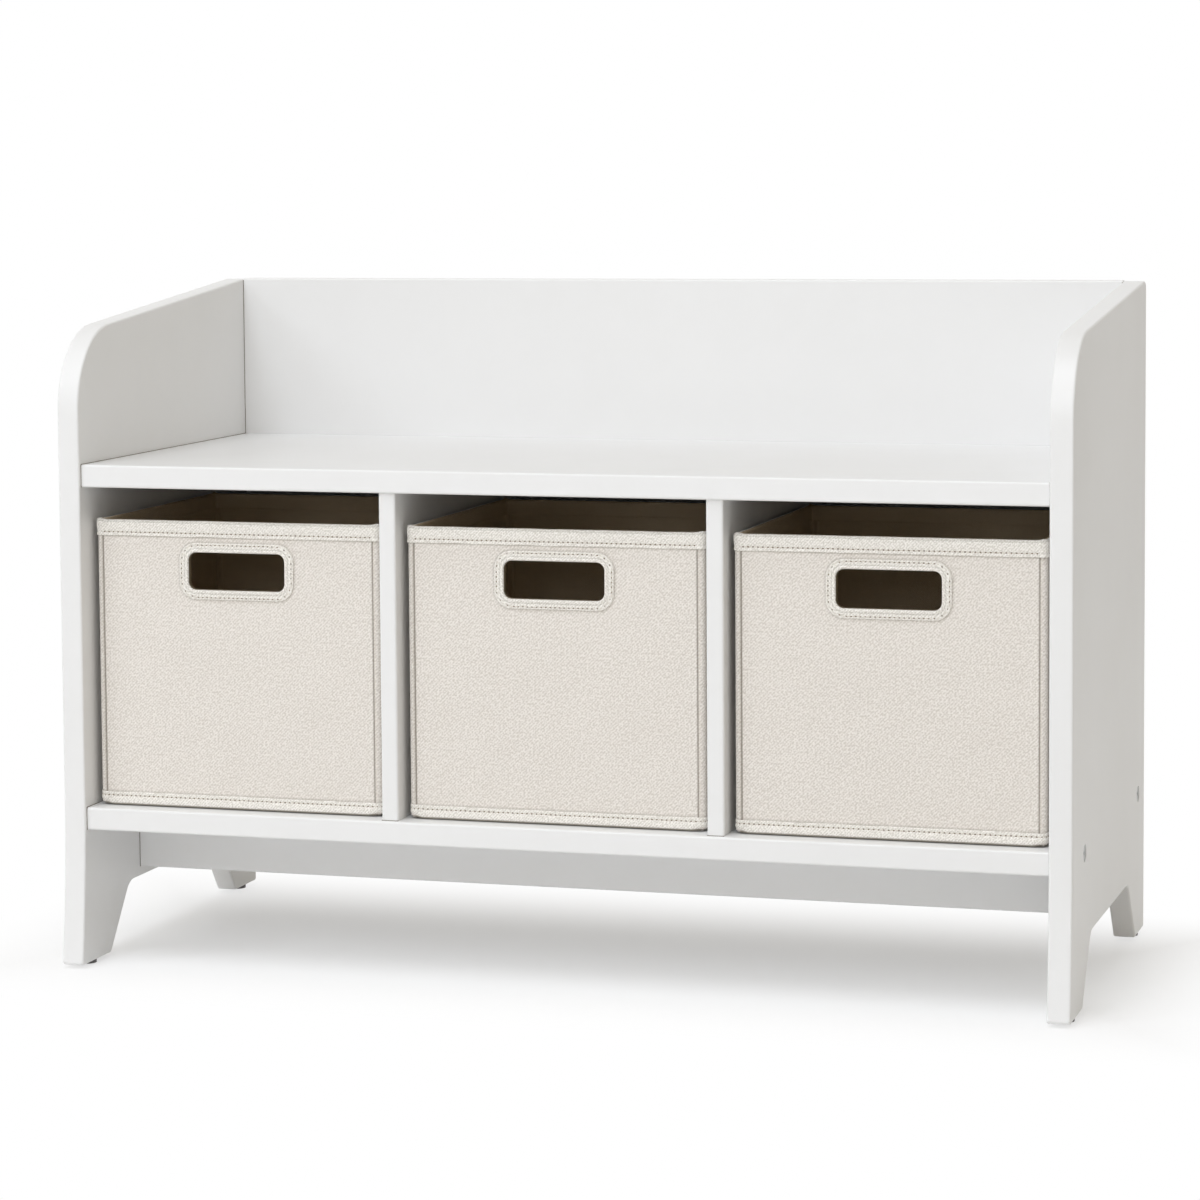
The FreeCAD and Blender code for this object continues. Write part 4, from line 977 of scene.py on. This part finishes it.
def square_threads(name, ends, width):
    """Straight square threads. Each one runs from its first end to its second along one of the axes, upwards:
    four corners round each end, in the plane of the other two axes."""
    ends = np.array(ends)
    along = np.abs(ends[:, 1] - ends[:, 0]).argmax(1)
    axes = np.eye(3)
    x, y = (np.array([(-1, -1), (1, -1), (1, 1), (-1, 1)]) * width / 2).T[..., None]
    round_end = x * axes[(along + 1) % 3][:, None] + y * axes[(along + 2) % 3][:, None]
    points = ends[:, :, None] + round_end[:, None]
    quads = np.array([(0, 1, 5, 4), (1, 2, 6, 5), (2, 3, 7, 6), (3, 0, 4, 7), (3, 2, 1, 0), (4, 5, 6, 7)])
    faces = quads[None] + 8 * np.arange(len(ends))[:, None, None]
    return make_mesh(name, points.reshape(-1, 3), faces.reshape(-1, 4), smooth=False)


class BENCH_OT_boards(bpy.types.Operator):
    """Gives the painted boards, the fittings and the boards in the bins' walls their finishes"""

    bl_idname = "bench.boards"
    bl_label = "Finish the boards and fittings"

    def execute(self, context):
        for material, names in FINISHES.items():
            for name in names:
                dress_node(name, material)
        for name, times in EASED.items():
            ease_edges(name, context.scene.bench_paint.eased * times)
        return {"FINISHED"}


class BENCH_OT_joint_shadows(bpy.types.Operator):
    """Makes the dark threads in the joints between the boards: painted shade for the shadow in the gaps"""

    bl_idname = "bench.joints"
    # These open joints are dark threads of painted shade, not real gaps.
    bl_label = "Make the open joints"

    def execute(self, context):
        names = ("bench_top", "upper_back_panel", "bottom_shelf", "apron_rail")
        top, back, shelf, apron = (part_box(name) for name in names)
        behind = back[0][1]
        ends = []
        for x in (top[0][0], top[1][0]):
            for (_, front, under), (_, _, over) in (top, shelf, apron):
                ends.append(((x, front, under), (x, front, over)))
            for (_, front, _), (_, _, over) in (top, shelf):
                ends.append(((x, front, over), (x, behind, over)))
            ends.append(((x, behind, top[1][2]), (x, behind, back[1][2] - 0.002)))
        for name in ("left_divider", "right_divider"):
            (left, front, under), (right, _, _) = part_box(name)
            ends.append(((left, front, under), (right, front, under)))
        item = square_threads("board_joints", ends, context.scene.bench_paint.joint)
        finish_piece(item, ["Open joint"], "cabinet", "white_paint")
        return {"FINISHED"}


def wall_boards(side):
    return [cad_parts[f"{side}_bin_{wall}_board"] for wall in WALLS]


class BENCH_OT_canvas(bpy.types.Operator):
    """Makes the outer cloth of the bins: a strip round the walls and a panel under the floor"""

    bl_idname = "bench.canvas"
    bl_label = "Make the bins' canvas"

    def execute(self, context):
        for side in BINS:
            boards = wall_boards(side)
            wall, flat = canvas_wall(side)
            finish_piece(wall, ["Canvas"], f"{side}_bin", "bin_canvas", f"{side}_bin_canvas")
            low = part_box(f"{side}_bin_canvas")[0][2]
            base, flat = floor_cloth(
                side, "canvas", "base", low, inset=0.002, facing_up=False, thickness=0.001, dip=0.0
            )
            finish_piece(base, ["Canvas"], f"{side}_bin", "bin_canvas")
        return {"FINISHED"}


class BENCH_OT_lining(bpy.types.Operator):
    """Makes the lining of the bins: a strip round the walls and a panel on the floor"""

    bl_idname = "bench.lining"
    bl_label = "Make the bins' lining"

    def execute(self, context):
        for side in BINS:
            boards = wall_boards(side)
            wall, flat = lining_wall(side)
            finish_piece(wall, ["Lining"], f"{side}_bin", "bin_lining", f"{side}_bin_lining")
            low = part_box(f"{side}_bin_lining")[0][2] + 0.001
            base, flat = floor_cloth(
                side, "lining", "floor", low, inset=0.0012, facing_up=True, thickness=0.0007, dip=0.0003
            )
            finish_piece(base, ["Lining"], f"{side}_bin", "bin_lining")
        return {"FINISHED"}


class BENCH_OT_bindings(bpy.types.Operator):
    """Makes the tapes over the rims and round the feet, the handle patches and the stitches"""

    bl_idname = "bench.bindings"
    bl_label = "Make the bins' bindings"

    def execute(self, context):
        for side in BINS:
            body = f"{side}_bin"
            tape, rim, rim_row = rim_binding(side)
            finish_piece(tape, ["Binding tape", "Lining"], body, "bin_binding", f"{side}_bin_rim_binding")
            tape, foot, foot_row = foot_binding(side)
            finish_piece(tape, ["Binding tape"], body, "bin_binding", f"{side}_bin_foot_binding")
            patch, looks = handle_patch(side), ["Binding tape", "Lining", "Slot edge"]
            finish_piece(patch, looks, body, "bin_binding", f"{side}_bin_handle_patch")
            sewing = stitches(side, rim, rim_row, foot, foot_row)
            finish_piece(sewing, ["Thread", "Needle hole"], body, "bin_binding")
        return {"FINISHED"}


# Stage


def mixed(tree, factor, first, second):
    """A shader between two shaders."""
    return add(tree, "MixShader", {0: factor, 1: first, 2: second}).outputs[0]


def white_to_camera(tree, seen, lit):
    """Mixes what the camera sees, directly or in a reflection, with what lights the object."""
    rays = add(tree, "LightPath").outputs
    mirrored = maths(tree, "MAXIMUM", rays["Is Glossy Ray"], rays["Is Transmission Ray"])
    return mixed(tree, maths(tree, "MAXIMUM", rays["Is Camera Ray"], mirrored), lit, seen)


def make_world(stage):
    world = bpy.data.worlds.new("Studio")
    bpy.context.scene.world = world
    world.use_nodes = True
    tree = world.node_tree
    tree.nodes.clear()
    daylight = {"Color": tinted(stage.daylight_tint), "Strength": stage.daylight}
    lit = add(tree, "Background", daylight).outputs[0]
    seen = add(tree, "Background", {"Color": WHITE, "Strength": 1.0}).outputs[0]
    add(tree, "OutputWorld", {"Surface": white_to_camera(tree, seen, lit)})


def make_floor(stage):
    """A round floor, just under the glides, that fades to plain white away from the object, so that it meets
    the backdrop unseen."""
    turn = np.arange(97) / 96
    angle = TURN * turn[:-1, None]
    reach = np.array([0.0, 0.5, 1.0, 2.0, 4.0, 9.0])
    points = np.stack([np.cos(angle) * reach, np.sin(angle) * reach, np.full((96, 6), -0.0002)], -1)
    floor = grid_object("floor", points, turn, reach)
    material, tree, shader = new_material("Pale floor")
    wire(tree, shader, {"Base Color": tinted(stage.floor), "Roughness": 0.6, "Specular IOR Level": 0.15})
    middle = add(tree, "Mapping", {"Vector": object_place(tree), "Location": (0.0, 0.015, 0.0)}).outputs[0]
    away = add(tree, "VectorMath", {0: middle}, operation="ABSOLUTE").outputs[0]
    borders = {6: away, 7: (0.4, 0.05, 0), 8: (0.6, 0.3, 1), 9: (0, 0, 0), 10: (1, 1, 1)}
    fade = add(tree, "MapRange", borders, data_type="FLOAT_VECTOR", interpolation_type="SMOOTHSTEP")
    apart = add(tree, "SeparateXYZ", {0: fade.outputs["Vector"]}).outputs
    glow = add(tree, "Emission", {"Color": WHITE, "Strength": 1.18}).outputs[0]
    plain = add(tree, "Emission", {"Color": WHITE, "Strength": 1.0}).outputs[0]
    near = mixed(tree, 0.28, shader.outputs[0], glow)
    seen = mixed(tree, maths(tree, "MAXIMUM", apart[0], apart[1]), near, plain)
    wire(tree, tree.nodes["Material Output"], {0: white_to_camera(tree, seen, shader.outputs[0])})
    floor.data.materials.append(material)


def make_lamp(name, place, width, power):
    """A round lamp that points at the middle of the bench."""
    light = bpy.data.lights.new(name, "AREA")
    light.shape = "DISK"
    light.size = width
    light.energy = power
    light.color = LAMP_TINT
    lamp = bpy.data.objects.new(name, light)
    lamp.location = place
    lamp.rotation_euler = (LAMP_AIM - Vector(place)).to_track_quat("-Z", "Y").to_euler()
    bpy.context.scene.collection.objects.link(lamp)


def make_camera(lens):
    data = bpy.data.cameras.new("Camera")
    data.sensor_width = 36.0
    data.lens = lens
    data.shift_y = -0.125
    data.clip_start, data.clip_end = 0.1, 60.0
    camera = bpy.data.objects.new("Camera", data)
    camera.matrix_world = Matrix.Translation(CAMERA_PLACE)
    for angle, axis in ((YAW, "Z"), (QUARTER - PITCH, "X"), (ROLL, "Z")):
        camera.matrix_world @= Matrix.Rotation(angle, 4, axis)
    bpy.context.scene.collection.objects.link(camera)
    bpy.context.scene.camera = camera


class BENCH_OT_stage(bpy.types.Operator):
    """Makes the floor, the light and the camera"""

    bl_idname = "bench.stage"
    bl_label = "Make the stage"

    def execute(self, context):
        stage = context.scene.bench_stage
        make_world(stage)
        make_floor(stage)
        for name, (place, width) in LAMPS.items():
            make_lamp(name.capitalize(), place, width, getattr(stage, name))
        make_camera(stage.lens)
        context.scene.view_settings.view_transform = "Standard"
        return {"FINISHED"}


class BENCH_PT_panel(bpy.types.Panel):
    """Lists the bench's building steps and settings"""

    bl_label = "Storage bench"
    bl_space_type = "VIEW_3D"
    bl_region_type = "UI"
    bl_category = "Storage bench"

    def draw(self, context):
        for step in STEPS:
            self.layout.operator(step.bl_idname)
        for name, group in GROUPS.items():
            for setting in group.__annotations__:
                self.layout.prop(getattr(context.scene, name), setting)


STEPS = (
    BENCH_OT_boards, BENCH_OT_joint_shadows, BENCH_OT_canvas, BENCH_OT_lining, BENCH_OT_bindings, BENCH_OT_stage,
)
GROUPS = {"bench_paint": BenchPaint, "bin_cloth": BinCloth, "bench_stage": BenchStage}
CLASSES = (*GROUPS.values(), *STEPS, BENCH_PT_panel)


def register():
    for item in CLASSES:
        bpy.utils.register_class(item)
    for name, group in GROUPS.items():
        setattr(bpy.types.Scene, name, PointerProperty(type=group))


def unregister():
    for name in GROUPS:
        delattr(bpy.types.Scene, name)
    for item in reversed(CLASSES):
        bpy.utils.unregister_class(item)


def main():
    register()
    bpy.ops.bench.boards()
    bpy.ops.bench.joints()
    bpy.ops.bench.canvas()
    bpy.ops.bench.lining()
    bpy.ops.bench.bindings()
    bpy.ops.bench.stage()


if __name__ == "__main__":
    main()
